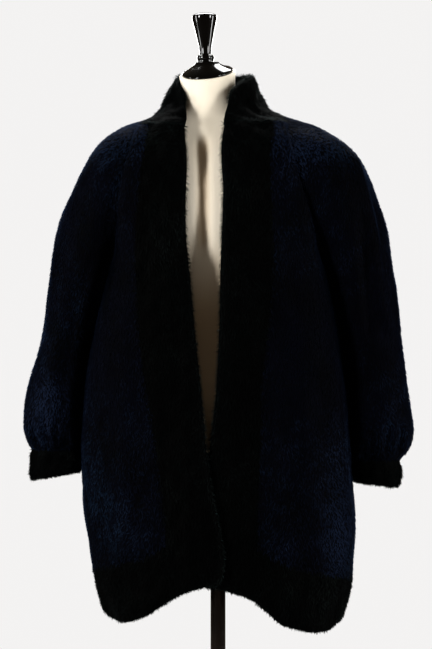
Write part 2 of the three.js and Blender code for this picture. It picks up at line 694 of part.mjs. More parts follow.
function indexedGeometry(positions, triangles) {
  const geometry = new THREE.BufferGeometry();
  geometry.setAttribute("position", new THREE.Float32BufferAttribute(positions, 3));
  geometry.setIndex(triangles);
  return geometry;
}

// ---------------------------------------------------------------- cloth pieces
function clothPieces() {
  const pieces = [];
  const rowsOf = {};
  for (const [name, side] of Object.entries(SIDES)) {
    side.linesAt = reader(side.lines, "z");
    side.outlineAt = reader(side.outline, "z");
    side.hemAt = reader(side.hem, "share");
    side.neckFrontZ = raglanPoint(side, NECK_ARC).z - 4;
    rowsOf[name] = bodyRows(side);
  }
  const skirtEnd = RAGLAN_STEPS + SKIRT_STEPS + 1;
  for (const [name, side] of Object.entries(SIDES)) {
    const rows = rowsOf[name];
    const flip = side.sign < 0;
    const front = rows.map((row) => frontRow(side, row));
    const add = (kind, skin, grid, seams, more = {}) =>
      pieces.push({ name: `${kind}_${name}`, skin, grid, seams, flip, ...more });
    add("band", "black", rows.map((row) => bandRow(side, row)), ["top", "end"]);
    add("front", "navy", front.slice(0, skirtEnd), ["top", "bottom", "start", "end"], { underarm: -1 });
    add("hem", "black", front.slice(skirtEnd - 1), ["top", "start", "end"]);
    add("sleeve", "navy", sleeveGrid(side), ["top", "bottom"], { closed: true, flip: !flip });
    add("cuff", "black", cuffGrid(side), ["top"], { closed: true, flip: !flip });
  }
  const backHalves = (rows) => rows.right.map((row, i) => {
    const right = backRow(SIDES.right, row);
    const left = backRow(SIDES.left, rows.left[i]);
    right[BACK_STEPS].add(left[BACK_STEPS]).multiplyScalar(0.5);
    return [...left.slice(0, -1), ...right.reverse()];
  });
  const back = backHalves(rowsOf);
  pieces.push({
    name: "back", skin: "navy", grid: back.slice(0, skirtEnd),
    seams: ["top", "bottom", "start", "end"], flip: false, underarm: 1,
  });
  pieces.push({
    name: "hem_back", skin: "black", grid: back.slice(skirtEnd - 1),
    seams: ["top", "start", "end"], flip: false,
  });
  const right = collarStations(SIDES.right, rowsOf.right);
  const left = collarStations(SIDES.left, rowsOf.left);
  right.at(-1).forEach((p, i) => p.add(left.at(-1)[i]).multiplyScalar(0.5));
  pieces.push({
    name: "collar", skin: "black", grid: [...right, ...left.slice(0, -1).reverse()],
    seams: ["top", "bottom", "end"], flip: false, wall: COLLAR_WALL,
  });
  return pieces;
}

// ---------------------------------------------------------------- form and stand
// A solid through rings of equal count, closed at both ends.
function loftGeometry(rings) {
  const columns = rings[0].length;
  const points = rings.flat();
  const triangles = quadFaces(rings.length, columns, true).flatMap(([a, b, c, d]) => [a, c, b, a, d, c]);
  const last = (rings.length - 1) * columns;
  for (let c = 1; c + 1 < columns; c++) {
    triangles.push(0, c + 1, c, last, last + c, last + c + 1);
  }
  return indexedGeometry(points.flatMap((p) => [p.x, p.y, p.z]), triangles);
}

const FORM_COLUMNS = 36;

function neckTilt(x, y, z) {
  const share = smooth((z - NECK_CUT.from) / (NECK_CUT.to - NECK_CUT.from));
  return share * (y * Math.tan(NECK_CUT.forward * RAD) + x * Math.tan(NECK_CUT.roll * RAD));
}

function formGeometry() {
  const rings = FORM_SECTIONS.map(({ z }) =>
    Array.from({ length: FORM_COLUMNS }, (_, i) => {
      const angle = (i / FORM_COLUMNS) * 2 * Math.PI;
      const n = lerp(SQUARENESS.form, 2, smooth((z - 1380) / 60));
      const x = formAt(z, "half") * power(Math.cos(angle), n);
      const deep = power(Math.sin(angle), n);
      const y = deep * (deep > 0 ? formAt(z, "back") : formAt(z, "front"));
      return new THREE.Vector3(x, y, z + neckTilt(x, y, z));
    }));
  return loftGeometry(rings);
}

function capGeometry() {
  const seat = NECK_CUT.to + REST_GAP + 0.1;
  const rings = CAP_PROFILE.map(({ radius, rise, tilt }) =>
    Array.from({ length: FORM_COLUMNS }, (_, i) => {
      const angle = (i / FORM_COLUMNS) * 2 * Math.PI;
      const x = radius * Math.cos(angle);
      const y = radius * Math.sin(angle);
      return new THREE.Vector3(x, y, seat + rise + tilt * neckTilt(x, y, NECK_CUT.to));
    }));
  return loftGeometry(rings);
}

// A turned piece from its profile, standing on its own foot.
function turnedGeometry(profile, top, segments) {
  const points = [new THREE.Vector2(0, 0), ...profile.map((p) => new THREE.Vector2(p.radius, p.height))];
  points.push(new THREE.Vector2(0, top));
  const geometry = new THREE.LatheGeometry(points, segments);
  geometry.rotateX(Math.PI / 2);
  geometry.deleteAttribute("normal");
  geometry.deleteAttribute("uv");
  return mergeVertices(geometry, 1e-3);
}

// ---------------------------------------------------------------- the model
const SKINS = {
  navy: new THREE.MeshStandardMaterial({ color: 0x0a1226, roughness: 0.95 }),
  black: new THREE.MeshStandardMaterial({ color: 0x070808, roughness: 0.95 }),
  linen: new THREE.MeshStandardMaterial({ color: 0xe9dfcb, roughness: 0.8 }),
  lacquer: new THREE.MeshStandardMaterial({ color: 0x060607, roughness: 0.15 }),
  stained: new THREE.MeshStandardMaterial({ color: 0x1d120d, roughness: 0.3 }),
};

function mesh(name, geometry, skin) {
  const made = new THREE.Mesh(geometry, SKINS[skin].clone());
  made.name = name;
  return made;
}

const model = new THREE.Group();

const cloth = clothPieces();
const { normalAt, ownersAt, onRaglan } = sharedNormals(cloth);
for (const piece of cloth) {
  const wallAt = (p) => (ownersAt(p) > 1 ? WALL : piece.wall ?? WALL);
  const shifts = seamShifts(piece);
  const outer = piece.grid.map((row, r) => row.map((p, c) => p.clone().add(shifts[r][c])));
  const inner = piece.grid.map((row, r) =>
    row.map((p, c) => outer[r][c].clone().addScaledVector(normalAt(p), -wallAt(p))));
  const geometry = wallGeometry(piece.grid, outer, inner, piece.closed, !piece.flip);
  model.add(mesh(piece.name, geometry, piece.skin));
}

const display = new THREE.Group();
display.position.z = FORM_BOTTOM_Z;
display.rotation.y = -FORM_LEAN * RAD;
const capTop = NECK_CUT.to + REST_GAP + CAP_PROFILE.at(-1).rise;
const finial = mesh("finial", turnedGeometry(FINIAL_PROFILE, FINIAL_TOP, 28), "lacquer");
finial.position.set(-FINIAL_OFFSET, 0, capTop + REST_GAP + 0.1);
const upright = new THREE.Group();
upright.position.z = -FORM_BOTTOM_Z;
upright.add(mesh("form", formGeometry(), "linen"));
upright.add(mesh("neck_cap", capGeometry(), "lacquer"));
upright.add(finial);
display.add(upright);
model.add(display);

const baseTop = BASE_PROFILE.at(-1).height;
const leanClearance = POLE_RADIUS * Math.sin(FORM_LEAN * RAD);
const poleLength = FORM_BOTTOM_Z - baseTop - 2 * REST_GAP - leanClearance;
const pole = mesh("pole", new THREE.CylinderGeometry(POLE_RADIUS, POLE_RADIUS, poleLength, 24), "stained");
pole.rotation.x = Math.PI / 2;
pole.position.z = baseTop + REST_GAP + poleLength / 2;
model.add(pole);
model.add(mesh("base", turnedGeometry(BASE_PROFILE, baseTop, 48), "stained"));

export default model;
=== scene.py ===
"""A sheared-fur coat with broad black fronts, on a covered dress form with a round-based stand.

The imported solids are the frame. Each cloth solid is replaced by a soft shell of the same shape,
which carries its own piece of pile, and the form and its stand are smoothed and finished.
"""

import logging
import math
from dataclasses import dataclass
from enum import Enum

import bmesh
import bpy
import numpy as np
from bmesh.types import BMesh
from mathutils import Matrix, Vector
from mathutils.bvhtree import BVHTree


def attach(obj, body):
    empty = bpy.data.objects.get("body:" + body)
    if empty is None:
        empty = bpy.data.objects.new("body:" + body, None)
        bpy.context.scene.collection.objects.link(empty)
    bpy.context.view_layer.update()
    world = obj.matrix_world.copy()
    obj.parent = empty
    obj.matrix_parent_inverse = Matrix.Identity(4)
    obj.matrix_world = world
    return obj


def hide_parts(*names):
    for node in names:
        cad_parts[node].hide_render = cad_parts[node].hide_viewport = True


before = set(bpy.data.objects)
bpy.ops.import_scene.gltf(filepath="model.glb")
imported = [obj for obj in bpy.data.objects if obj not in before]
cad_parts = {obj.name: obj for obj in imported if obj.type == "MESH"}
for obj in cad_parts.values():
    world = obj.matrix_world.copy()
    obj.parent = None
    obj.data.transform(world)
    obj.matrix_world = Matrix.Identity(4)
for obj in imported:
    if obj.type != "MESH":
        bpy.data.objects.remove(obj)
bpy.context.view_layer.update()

Pair = tuple[float, float]
Triple = tuple[float, float, float]
Colour = Triple
Array = np.ndarray
Socket = bpy.types.NodeSocket
Material = bpy.types.Material
Mesh = bpy.types.Mesh
Object = bpy.types.Object

LOG = logging.getLogger("fur_coat")
DOWN = np.array([0.0, 0.0, -1.0])
TINY = 1e-12
WELD = 2e-5  # metres within which vertices are joined
QUAD_BEND = math.radians(30)  # the most that a quad's two triangles bend
QUAD_SKEW = math.radians(70)  # the most that its corners are off square
SOFT_WAY = 0.75  # how squarely a soft rim faces its way
SOFT_RIM = 0.9  # how sharp it stays, from 0, round, to 1


class Hold(Enum):
    """How a piece of the coat is held."""

    HUNG = "hung"
    GATHERED = "gathered"


class Facing(Enum):
    """What a cloth piece wraps round, which tells its outside from its inside."""

    TORSO = "torso"
    ARM = "arm"
    NECK = "neck"


# ---------------- shared geometry
def unit(vectors: Array) -> Array:
    """Each row of an array scaled to length one."""
    return vectors / np.maximum(np.linalg.norm(vectors, axis=-1, keepdims=True), TINY)


def waves(points: Array, pitch: float, seed: int, stretch: float, count: int = 12) -> Array:
    """A soft, even noise: a sum of plane waves in seeded directions, over their count's root.

    Args:
        points: Places, one a row.
        pitch: The typical distance from crest to crest.
        seed: Which directions and phases are used.
        stretch: How much longer the crests are up and down.
        count: How many waves are added.

    Returns:
        One number a place, mostly between -1.5 and 1.5.
    """
    rng = np.random.default_rng(seed)
    ways = unit(rng.normal(size=(count, 3))) * np.array([1.0, 1.0, 1.0 / stretch])
    ways *= (math.tau / pitch) * rng.uniform(0.7, 1.5, size=(count, 1))
    return np.sin(points @ ways.T + rng.uniform(0, math.tau, count)).sum(axis=1) / math.sqrt(count)


def smoothstep(x: Array, low: float, high: float) -> Array:
    """Zero below low, one above high and a smooth S between."""
    t = np.clip((x - low) / (high - low), 0.0, 1.0)
    return t * t * (3.0 - 2.0 * t)


def read_points(mesh: Mesh, what: str = "co") -> Array:
    """A mesh's vertices, or another triple that they carry, as an array with one a row."""
    flat = np.empty(len(mesh.vertices) * 3)
    mesh.vertices.foreach_get(what, flat)
    return flat.reshape(-1, 3)


def read_normals(mesh: Mesh) -> Array:
    """A mesh's vertex normals as an array, one a row."""
    return read_points(mesh, "normal")


def write_points(mesh: Mesh, points: Array) -> None:
    """Puts an array of places into a mesh's vertices."""
    mesh.vertices.foreach_set("co", points.ravel())
    mesh.update()


def write_layer(mesh: Mesh, name: str, uv: Array) -> None:
    """Keeps two numbers for each face corner as a UV layer."""
    mesh.uv_layers.new(name=name).data.foreach_set("uv", uv.ravel())


def cover_with(piece: Object, material: Material) -> None:
    """Gives a piece one material, in place of those it has."""
    piece.data.materials.clear()
    piece.data.materials.append(material)


def read_triangles(mesh: Mesh) -> Array:
    """A mesh's triangles as vertex numbers, one triangle a row."""
    mesh.calc_loop_triangles()
    flat = np.empty(len(mesh.loop_triangles) * 3, dtype=np.int64)
    mesh.loop_triangles.foreach_get("vertices", flat)
    return flat.reshape(-1, 3)


def spans(points: Array, triangles: Array) -> Array:
    """Each triangle's normal, twice its area long, from the cross product of two sides."""
    a, b, c = (points[triangles[:, k]] for k in range(3))
    return np.cross(b - a, c - a)


def summed_normals(points: Array, triangles: Array) -> Array:
    """At each vertex, the sum of the unit normals of the triangles that touch it."""
    faces = unit(spans(points, triangles))
    total = np.zeros_like(points)
    for k in range(3):
        np.add.at(total, triangles[:, k], faces)
    return total


def nearest_of(points: Array, marks: Array) -> tuple[Array, Array]:
    """Which mark is nearest to each place, and how far away it is, in blocks of places."""
    which = np.zeros(len(points), dtype=int)
    away = np.full(len(points), np.inf)
    squares = (marks**2).sum(axis=1)
    blocks = max(1, len(points) // 1000) if len(marks) else 0
    for block in np.array_split(np.arange(len(points)), blocks) if blocks else ():
        gaps = squares[None] - 2.0 * points[block] @ marks.T
        which[block] = gaps.argmin(axis=1)
        away[block] = np.linalg.norm(points[block] - marks[which[block]], axis=1)
    return which, away


def link(data: bpy.types.ID, name: str) -> Object:
    """A new object of a mesh, a light or a camera, in the scene."""
    thing = bpy.data.objects.new(name, data)
    bpy.context.scene.collection.objects.link(thing)
    return thing


def put_in_place(piece: Object, node: str) -> Object:
    """Puts a piece in a solid's place.

    Args:
        piece: The new piece.
        node: The solid.

    Returns:
        The piece.
    """
    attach(piece, "root")
    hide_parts(node)
    LOG.info("%s: %d faces", piece.name, len(piece.data.polygons))
    return piece


def mark_faces(bm: BMesh, sharp: float, soft: tuple[Triple, ...]) -> None:
    """Creases a solid's edges, and numbers the faces that they part by material index.

    A corner is kept as well where more than two full creases meet, or a full and a soft one.

    Args:
        bm: The solid.
        sharp: The bend, in radians, from which an edge is kept.
        soft: The ways that rims face which are rounded all the same.
    """
    crease = bm.edges.layers.float.new("crease_edge")
    corner = bm.verts.layers.float.new("crease_vert")
    for edge in bm.edges:
        if not edge.is_manifold or edge.calc_face_angle(0.0) < sharp:
            continue
        turns = (face.normal.dot(Vector(way)) for face in edge.link_faces for way in soft)
        edge[crease] = SOFT_RIM if any(turn > SOFT_WAY for turn in turns) else 1.0
    for vert in bm.verts:
        kept = [edge[crease] for edge in vert.link_edges]
        if kept.count(1.0) > 2 or (1.0 in kept and any(0.0 < value < 1.0 for value in kept)):
            vert[corner] = 1.0
    for number, first in enumerate(bm.faces):
        if first.tag:
            continue
        first.tag = True
        front = [first]
        while front:
            face = front.pop()
            face.material_index = number
            flat = [edge for edge in face.edges if edge[crease] == 0.0]
            beside = {other for edge in flat for other in edge.link_faces if not other.tag}
            for other in beside:
                other.tag = True
            front.extend(beside)


def smooth_copy(
    node: str, name: str, sharp_deg: float, soft: tuple[Triple, ...] = (), levels: int = 2
) -> tuple[Object, Array]:
    """A smooth copy of a solid: its triangles are joined into quads and subdivided.

    Sharp edges keep their line, so rims and lips stay crisp. They also part the solid into
    faces, such as a cloth's outside, its inside and its rims.

    Args:
        node: The solid that is copied.
        name: The new piece's name.
        sharp_deg: The bend from which an edge is sharp.
        soft: The ways that rims face which are rounded all the same.
        levels: How many times each face is split.

    Returns:
        The new piece, and each triangle's face number.
    """
    bm = bmesh.new()
    bm.from_mesh(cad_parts[node].data)
    bmesh.ops.remove_doubles(bm, verts=bm.verts, dist=WELD)
    bmesh.ops.join_triangles(
        bm, faces=bm.faces, angle_face_threshold=QUAD_BEND, angle_shape_threshold=QUAD_SKEW
    )
    mark_faces(bm, math.radians(sharp_deg), soft)
    mesh = bpy.data.meshes.new(name)
    bm.to_mesh(mesh)
    bm.free()
    coarse = link(mesh, name + "_coarse")
    rounding = coarse.modifiers.new("rounding", "SUBSURF")
    rounding.levels = rounding.render_levels = levels
    graph = bpy.context.evaluated_depsgraph_get()
    finished = bpy.data.meshes.new_from_object(coarse.evaluated_get(graph))
    bpy.data.objects.remove(coarse)
    finished.name = name
    finished.polygons.foreach_set("use_smooth", np.ones(len(finished.polygons), dtype=bool))
    for layer in ("crease_edge", "crease_vert"):
        if layer in finished.attributes:
            finished.attributes.remove(finished.attributes[layer])
    numbers = np.zeros(len(finished.polygons), dtype=np.int32)
    finished.polygons.foreach_get("material_index", numbers)
    finished.polygons.foreach_set("material_index", np.zeros_like(numbers))
    finished.calc_loop_triangles()
    owner = np.zeros(len(finished.loop_triangles), dtype=np.int32)
    finished.loop_triangles.foreach_get("polygon_index", owner)
    return link(finished, name), numbers[owner]


# ---------------- finishes
def grey(value: float) -> Colour:
    """An even colour."""
    return (value, value, value)


@dataclass
class Nodes:
    """A node tree with short ways to add and join its nodes."""

    tree: bpy.types.NodeTree

    def node(self, kind: str, **settings) -> bpy.types.Node:
        """Adds a node and sets its properties and, where a name is a socket's, that socket.

        Args:
            kind: The node's type name.
            **settings: Properties, or sockets with underscores for spaces.

        Returns:
            The new node.
        """
        made = self.tree.nodes.new(kind)
        for key, value in settings.items():
            if hasattr(made, key):
                setattr(made, key, value)
            else:
                made.inputs[key.replace("_", " ")].default_value = value
        return made

    def join(self, out: Socket, into: Socket) -> None:
        """Links an output to an input."""
        self.tree.links.new(out, into)


class Shader(Nodes):
    """A material under construction, with one Principled surface."""

    def __init__(self, name: str) -> None:
        """Starts the material with its name."""
        self.material = bpy.data.materials.new(name)
        self.material.use_nodes = True
        super().__init__(self.material.node_tree)
        self.surface = self.tree.nodes["Principled BSDF"]

    def place(self, tall: float = 1.0) -> Socket:
        """Object coordinates with their heights scaled, so less than 1 draws a pattern out."""
        where = self.node("ShaderNodeTexCoord")
        mapping = self.node("ShaderNodeMapping", Scale=(1.0, 1.0, tall))
        self.join(where.outputs["Object"], mapping.inputs["Vector"])
        return mapping.outputs["Vector"]

    def noise(self, scale: float, detail: float, tall: float = 1.0) -> Socket:
        """Noise over the object.

        Args:
            scale: How fine it is.
            detail: How many finer layers it has.
            tall: The scale of its heights.

        Returns:
            The number's output.
        """
        made = self.node("ShaderNodeTexNoise", Scale=scale, Detail=detail)
        self.join(self.place(tall), made.inputs["Vector"])
        return made.outputs["Fac"]

    def layer(self, name: str) -> bpy.types.NodeOutputs:
        """The two numbers of a UV layer, as the outputs X and Y."""
        uv = self.node("ShaderNodeUVMap", uv_map=name)
        parts = self.node("ShaderNodeSeparateXYZ")
        self.join(uv.outputs["UV"], parts.inputs["Vector"])
        return parts.outputs

    def ramp(self, factor: Socket, stops: list[tuple[float, Colour]]) -> Socket:
        """A colour ramp over a number.

        Args:
            factor: The number.
            stops: Positions with their colours.

        Returns:
            The colour output.
        """
        made = self.node("ShaderNodeValToRGB")
        bands = made.color_ramp.elements
        while len(bands) < len(stops):
            bands.new(0.5)
        for band, (position, colour) in zip(bands, stops):
            band.position = position
            band.color = (*colour, 1.0)
        self.join(factor, made.inputs["Fac"])
        return made.outputs["Color"]

    def mix(self, factor: float | Socket, a: Socket, b: Socket, mode: str = "MIX") -> Socket:
        """Mixes two colours.

        Args:
            factor: The second colour's share, as a number or an output.
            a: The first colour.
            b: The second colour.
            mode: How the two are combined.

        Returns:
            The colour output.
        """
        made = self.node("ShaderNodeMix", data_type="RGBA", blend_type=mode)
        if isinstance(factor, float):
            made.inputs["Factor"].default_value = factor
        else:
            self.join(factor, made.inputs["Factor"])
        self.join(a, made.inputs["A"])
        self.join(b, made.inputs["B"])
        return made.outputs["Result"]

    def multiply(self, a: Socket, b: Socket) -> Socket:
        """The product of two colours."""
        return self.mix(1.0, a, b, "MULTIPLY")

    def paint(self, colour: Socket) -> None:
        """Gives the surface its colour."""
        self.join(colour, self.surface.inputs["Base Color"])

    def bump(self, height: Socket, strength: float, distance: float) -> None:
        """Gives the surface a bump from a height."""
        made = self.node("ShaderNodeBump", Strength=strength, Distance=distance)
        self.join(height, made.inputs["Height"])
        self.join(made.outputs["Normal"], self.surface.inputs["Normal"])

    def constant(self, **values) -> None:
        """Sets the surface's own sockets, with underscores for spaces."""
        for key, value in values.items():
            self.surface.inputs[key.replace("_", " ")].default_value = value


@dataclass(frozen=True)
class FurFinish:
    """Sheared fur: a dark underfur, lighter tips and a soft sheen where it turns away."""

    name: str
    slot: str
    root: Colour
    tip: Colour
    glint: Colour
    lively: Colour
    sheen: Colour
    sheen_weight: float
    sheen_roughness: float = 0.24
    roughness: float = 0.75
    specular: float = 0.012

    def _dress(self, shader: Shader) -> None:
        """Sets the even parts of the finish."""
        shader.constant(
            Roughness=self.roughness,
            Sheen_Weight=self.sheen_weight,
            Sheen_Roughness=self.sheen_roughness,
            Sheen_Tint=(*self.sheen, 1.0),
            Specular_IOR_Level=self.specular,
        )

    def _cloud(self, shader: Shader) -> Socket:
        """The broad clouds that the underfur and the pile share."""
        return shader.noise(scale=16.0, detail=3.0, tall=0.55)

    def skin(self) -> Material:
        """The shell under the pile: cloudy, with fine hair-wide streaks that run down.

        Returns:
            The material.
        """
        shader = Shader(self.name + "_underfur")
        hair = shader.noise(scale=420.0, detail=2.0, tall=0.22)
        base = shader.ramp(self._cloud(shader), [(0.3, self.root), (0.72, self.tip)])
        streak = shader.ramp(hair, [(0.3, grey(0.45)), (0.75, grey(1.0))])
        shader.paint(shader.multiply(base, streak))
        shader.bump(hair, strength=0.55, distance=0.002)
        self._dress(shader)
        return shader.material

    def tips(self) -> Material:
        """The pile: dark at the root, lighter at the tip, each tuft a little different.

        A tuft's UV layer holds its own lightness as X, painted light and shade included, and the
        height along it as Y.

        Returns:
            The material.
        """
        shader = Shader(self.name + "_pile")
        tuft = shader.layer("tuft")
        patch = shader.noise(scale=7.0, detail=2.0, tall=0.7)
        along = shader.ramp(tuft["Y"], [(0.0, self.root), (0.9, self.tip)])
        tint = shader.ramp(patch, [(0.42, self.glint), (0.66, self.lively)])
        tipped = shader.ramp(tuft["Y"], [(0.0, grey(0.08)), (1.0, grey(1.0))])
        # the tuft's lightness, with its painted light and shade, blends it toward the glint colours
        each = shader.ramp(tuft["X"], [(0.35, grey(0.0)), (0.75, grey(0.24)), (1.0, grey(0.9))])
        cloudy = shader.ramp(self._cloud(shader), [(0.35, grey(0.5)), (0.7, grey(1.0))])
        colour = shader.mix(each, along, shader.multiply(tint, tipped))
        shader.paint(shader.multiply(colour, cloudy))
        self._dress(shader)
        return shader.material


@dataclass(frozen=True)
class JerseyFinish:
    """A close cream knit stretched over a hard shell, with painted shade, warm and dark, in the
    chest's hollow and low on the front.
    """

    name: str
    light: Colour
    dark: Colour
    # the colour that the painted shade darkens the knit towards
    painted_shade_colour: Colour
    stitch: float = 0.0011
    band_pitch: float = 0.31  # a band pattern's pitch in metres at scale 1

    def material(self) -> Material:
        """The knit: fine ribs in both directions over a cloudy ground, darkened by painted shade
        where the hollow layer marks it.

        Returns:
            The material.
        """
        shader = Shader(self.name)
        cloud = shader.noise(scale=9.0, detail=4.0, tall=0.6)
        base = shader.ramp(cloud, [(0.3, self.dark), (0.7, self.light)])
        # painted shade: the hollow layer darkens and browns the knit towards the painted shade
        # colour
        painted_shade = shader.ramp(shader.layer("hollow")["X"], [(0.0, grey(1.0)), (1.0, self.painted_shade_colour)])
        shader.paint(shader.multiply(base, painted_shade))
        courses = shader.node(
            "ShaderNodeTexWave",
            wave_type="BANDS",
            bands_direction="Z",
            Scale=self.band_pitch / self.stitch,
            Distortion=1.2,
        )
        shader.join(shader.place(), courses.inputs["Vector"])
        fine = shader.noise(scale=700.0, detail=1.0, tall=0.3)
        wales = shader.ramp(fine, [(0.2, grey(0.0)), (0.8, grey(1.0))])
        knit = shader.mix(0.5, courses.outputs["Color"], wales)
        shader.bump(knit, strength=0.25, distance=0.0006)
        shader.constant(
            Roughness=0.82, Sheen_Weight=0.15, Sheen_Roughness=0.5, Specular_IOR_Level=0.3
        )
        return shader.material


@dataclass(frozen=True)
class LacquerFinish:
    """Gloss over a dark ground, with the faint unevenness of a brushed coat."""

    name: str
    ground: Colour
    lit: Colour
    roughness: float
    coat: float
    specular: float
    coat_roughness: float = 0.06
    worn: Pair = (0.7, 1.4)

    def material(self) -> Material:
        """The lacquer: streaks along the height, worn a little, under a clear coat.

        Returns:
            The material.
        """
        shader = Shader(self.name)
        grain = shader.noise(scale=60.0, detail=3.0, tall=0.12)
        shader.paint(shader.ramp(grain, [(0.35, self.ground), (0.75, self.lit)]))
        low, high = (share * self.roughness for share in self.worn)
        rough = shader.node("ShaderNodeMapRange", To_Min=low, To_Max=high)
        shader.join(shader.noise(scale=35.0, detail=2.0), rough.inputs["Value"])
        shader.join(rough.outputs["Result"], shader.surface.inputs["Roughness"])
        shader.bump(grain, strength=0.05, distance=0.0004)
        shader.constant(
            Coat_Weight=self.coat,
            Coat_Roughness=self.coat_roughness,
            Specular_IOR_Level=self.specular,
        )
        return shader.material


BLUE_FUR = FurFinish(
    name="blue_fur",
    slot="fur_blue",
    root=(0.00014, 0.0002, 0.0005),
    tip=(0.0008, 0.0011, 0.0034),
    glint=(0.0150, 0.0260, 0.0620),
    lively=(0.0120, 0.0290, 0.0640),
    sheen=(0.20, 0.42, 1.0),
    sheen_weight=0.05,
)
BLACK_FUR = FurFinish(
    name="black_fur",
    slot="fur_black",
    root=(0.0001, 0.00013, 0.00013),
    tip=(0.0004, 0.0006, 0.00055),
    glint=(0.0085, 0.0120, 0.0110),
    lively=(0.0095, 0.0145, 0.0150),
    sheen=(0.5, 0.95, 0.95),
    sheen_weight=0.018,
)
# the last colour is the painted shade's
JERSEY = JerseyFinish("cream_jersey", (0.83, 0.755, 0.62), (0.79, 0.70, 0.55), (0.50, 0.36, 0.22))
BLACK_LACQUER = LacquerFinish(
    "black_lacquer", (0.0003, 0.0003, 0.0004), (0.0009, 0.0008, 0.0008), 0.1, 0.5, 0.12
)
BROWN_ENAMEL = LacquerFinish(
    "brown_enamel", (0.0050, 0.0025, 0.0014), (0.0090, 0.0050, 0.0030), 0.16, 0.2, 0.2
)


# ---------------- pile
@dataclass(frozen=True)
class Nap:
    """How a fur's tufts grow, in metres and degrees, and how they vary."""

    spacing: float = 0.0036
    length: float = 0.009
    width: float = 0.0017
    edge_width: float = 0.0009
    flatness: float = 0.3
    rise_deg: float = 15.0
    spread: float = 0.38
    swirl: float = 0.22
    edge_length: float = 0.0090
    edge_rise_deg: float = 42.0
    edge_reach: float = 0.01
    even_normals: float = 0.92
    lump: float = 0.0006
    # painted highlight: how much lighter the tufts are painted where the pile faces up
    top_highlight: float = 0.4
    rises: Pair = (0.65, 1.35)
    lengths: Pair = (0.6, 1.2)
    edge_fade: Pair = (0.3, 1.6)
    fluff_rise: float = 0.6
    fluff_cut: float = 0.4
    under_cut: float = 0.45
    # how much less painted highlight the free-edge tufts get where they face down
    under_shade: float = 0.4


SHEARED = Nap()
LONGER = Nap(length=0.0105, rise_deg=19.0, spread=0.5, swirl=0.4, lump=0.0018, top_highlight=0.1)


@dataclass(frozen=True)
class LightAndShadePatch:
    """A patch of pile painted lighter or darker: painted light where the lamps catch the fur,
    painted shade where they don't.
    """

    place: Triple
    size: Triple
    amount: float

    def lift(self, points: Array) -> Array:
        """The amount times exp(-r^2), where r is the distance over the patch's size."""
        away = (points - np.array(self.place)) / np.array(self.size)
        return self.amount * np.exp(-(away**2).sum(axis=1))


# painted light and shade: each patch is painted lighter, or darker where its amount is negative
LIGHT_AND_SHADE_PATCHES = (
    LightAndShadePatch((-0.206, -0.06, 1.384), (0.07, 0.09, 0.05), 0.5),
    LightAndShadePatch((0.204, -0.06, 1.37), (0.07, 0.09, 0.05), 0.55),
    LightAndShadePatch((-0.35, -0.06, 0.85), (0.05, 0.09, 0.08), 0.55),
    LightAndShadePatch((0.345, -0.06, 0.79), (0.05, 0.09, 0.04), 0.3),
    LightAndShadePatch((0.234, -0.1, 0.61), (0.045, 0.1, 0.12), 0.75),
    LightAndShadePatch((-0.23, -0.1, 0.7), (0.05, 0.1, 0.14), 0.2),
    LightAndShadePatch((0.136, -0.1, 1.34), (0.025, 0.08, 0.07), 0.4),
    LightAndShadePatch((-0.186, -0.1, 1.27), (0.04, 0.08, 0.09), 0.15),
    LightAndShadePatch((-0.2, -0.12, 1.02), (0.06, 0.09, 0.12), -0.35),
    LightAndShadePatch((0.176, -0.12, 1.000), (0.06, 0.09, 0.16), -0.35),
    LightAndShadePatch((0.044, -0.12, 1.29), (0.04, 0.08, 0.09), 0.35),
    LightAndShadePatch((0.31, -0.08, 1.08), (0.05, 0.08, 0.2), -0.25),
    LightAndShadePatch((-0.15, 0.12, 1.33), (0.1, 0.08, 0.06), 0.35),
    LightAndShadePatch((0.16, 0.12, 1.33), (0.1, 0.08, 0.06), 0.35),
    LightAndShadePatch((-0.12, 0.15, 0.64), (0.12, 0.08, 0.14), 0.35),
    LightAndShadePatch((0.09, 0.15, 0.9), (0.14, 0.08, 0.16), -0.2),
)


class Roots:
    """Where a pile's tufts stand, one row a tuft."""

    rng: np.random.Generator
    roots: Array
    normals: Array
    edge: Array  # whether it stands on a free edge
    fluff: Array  # how near it is to one, from 0 to 1
    under: Array  # how far it looks down, from 0 to 1


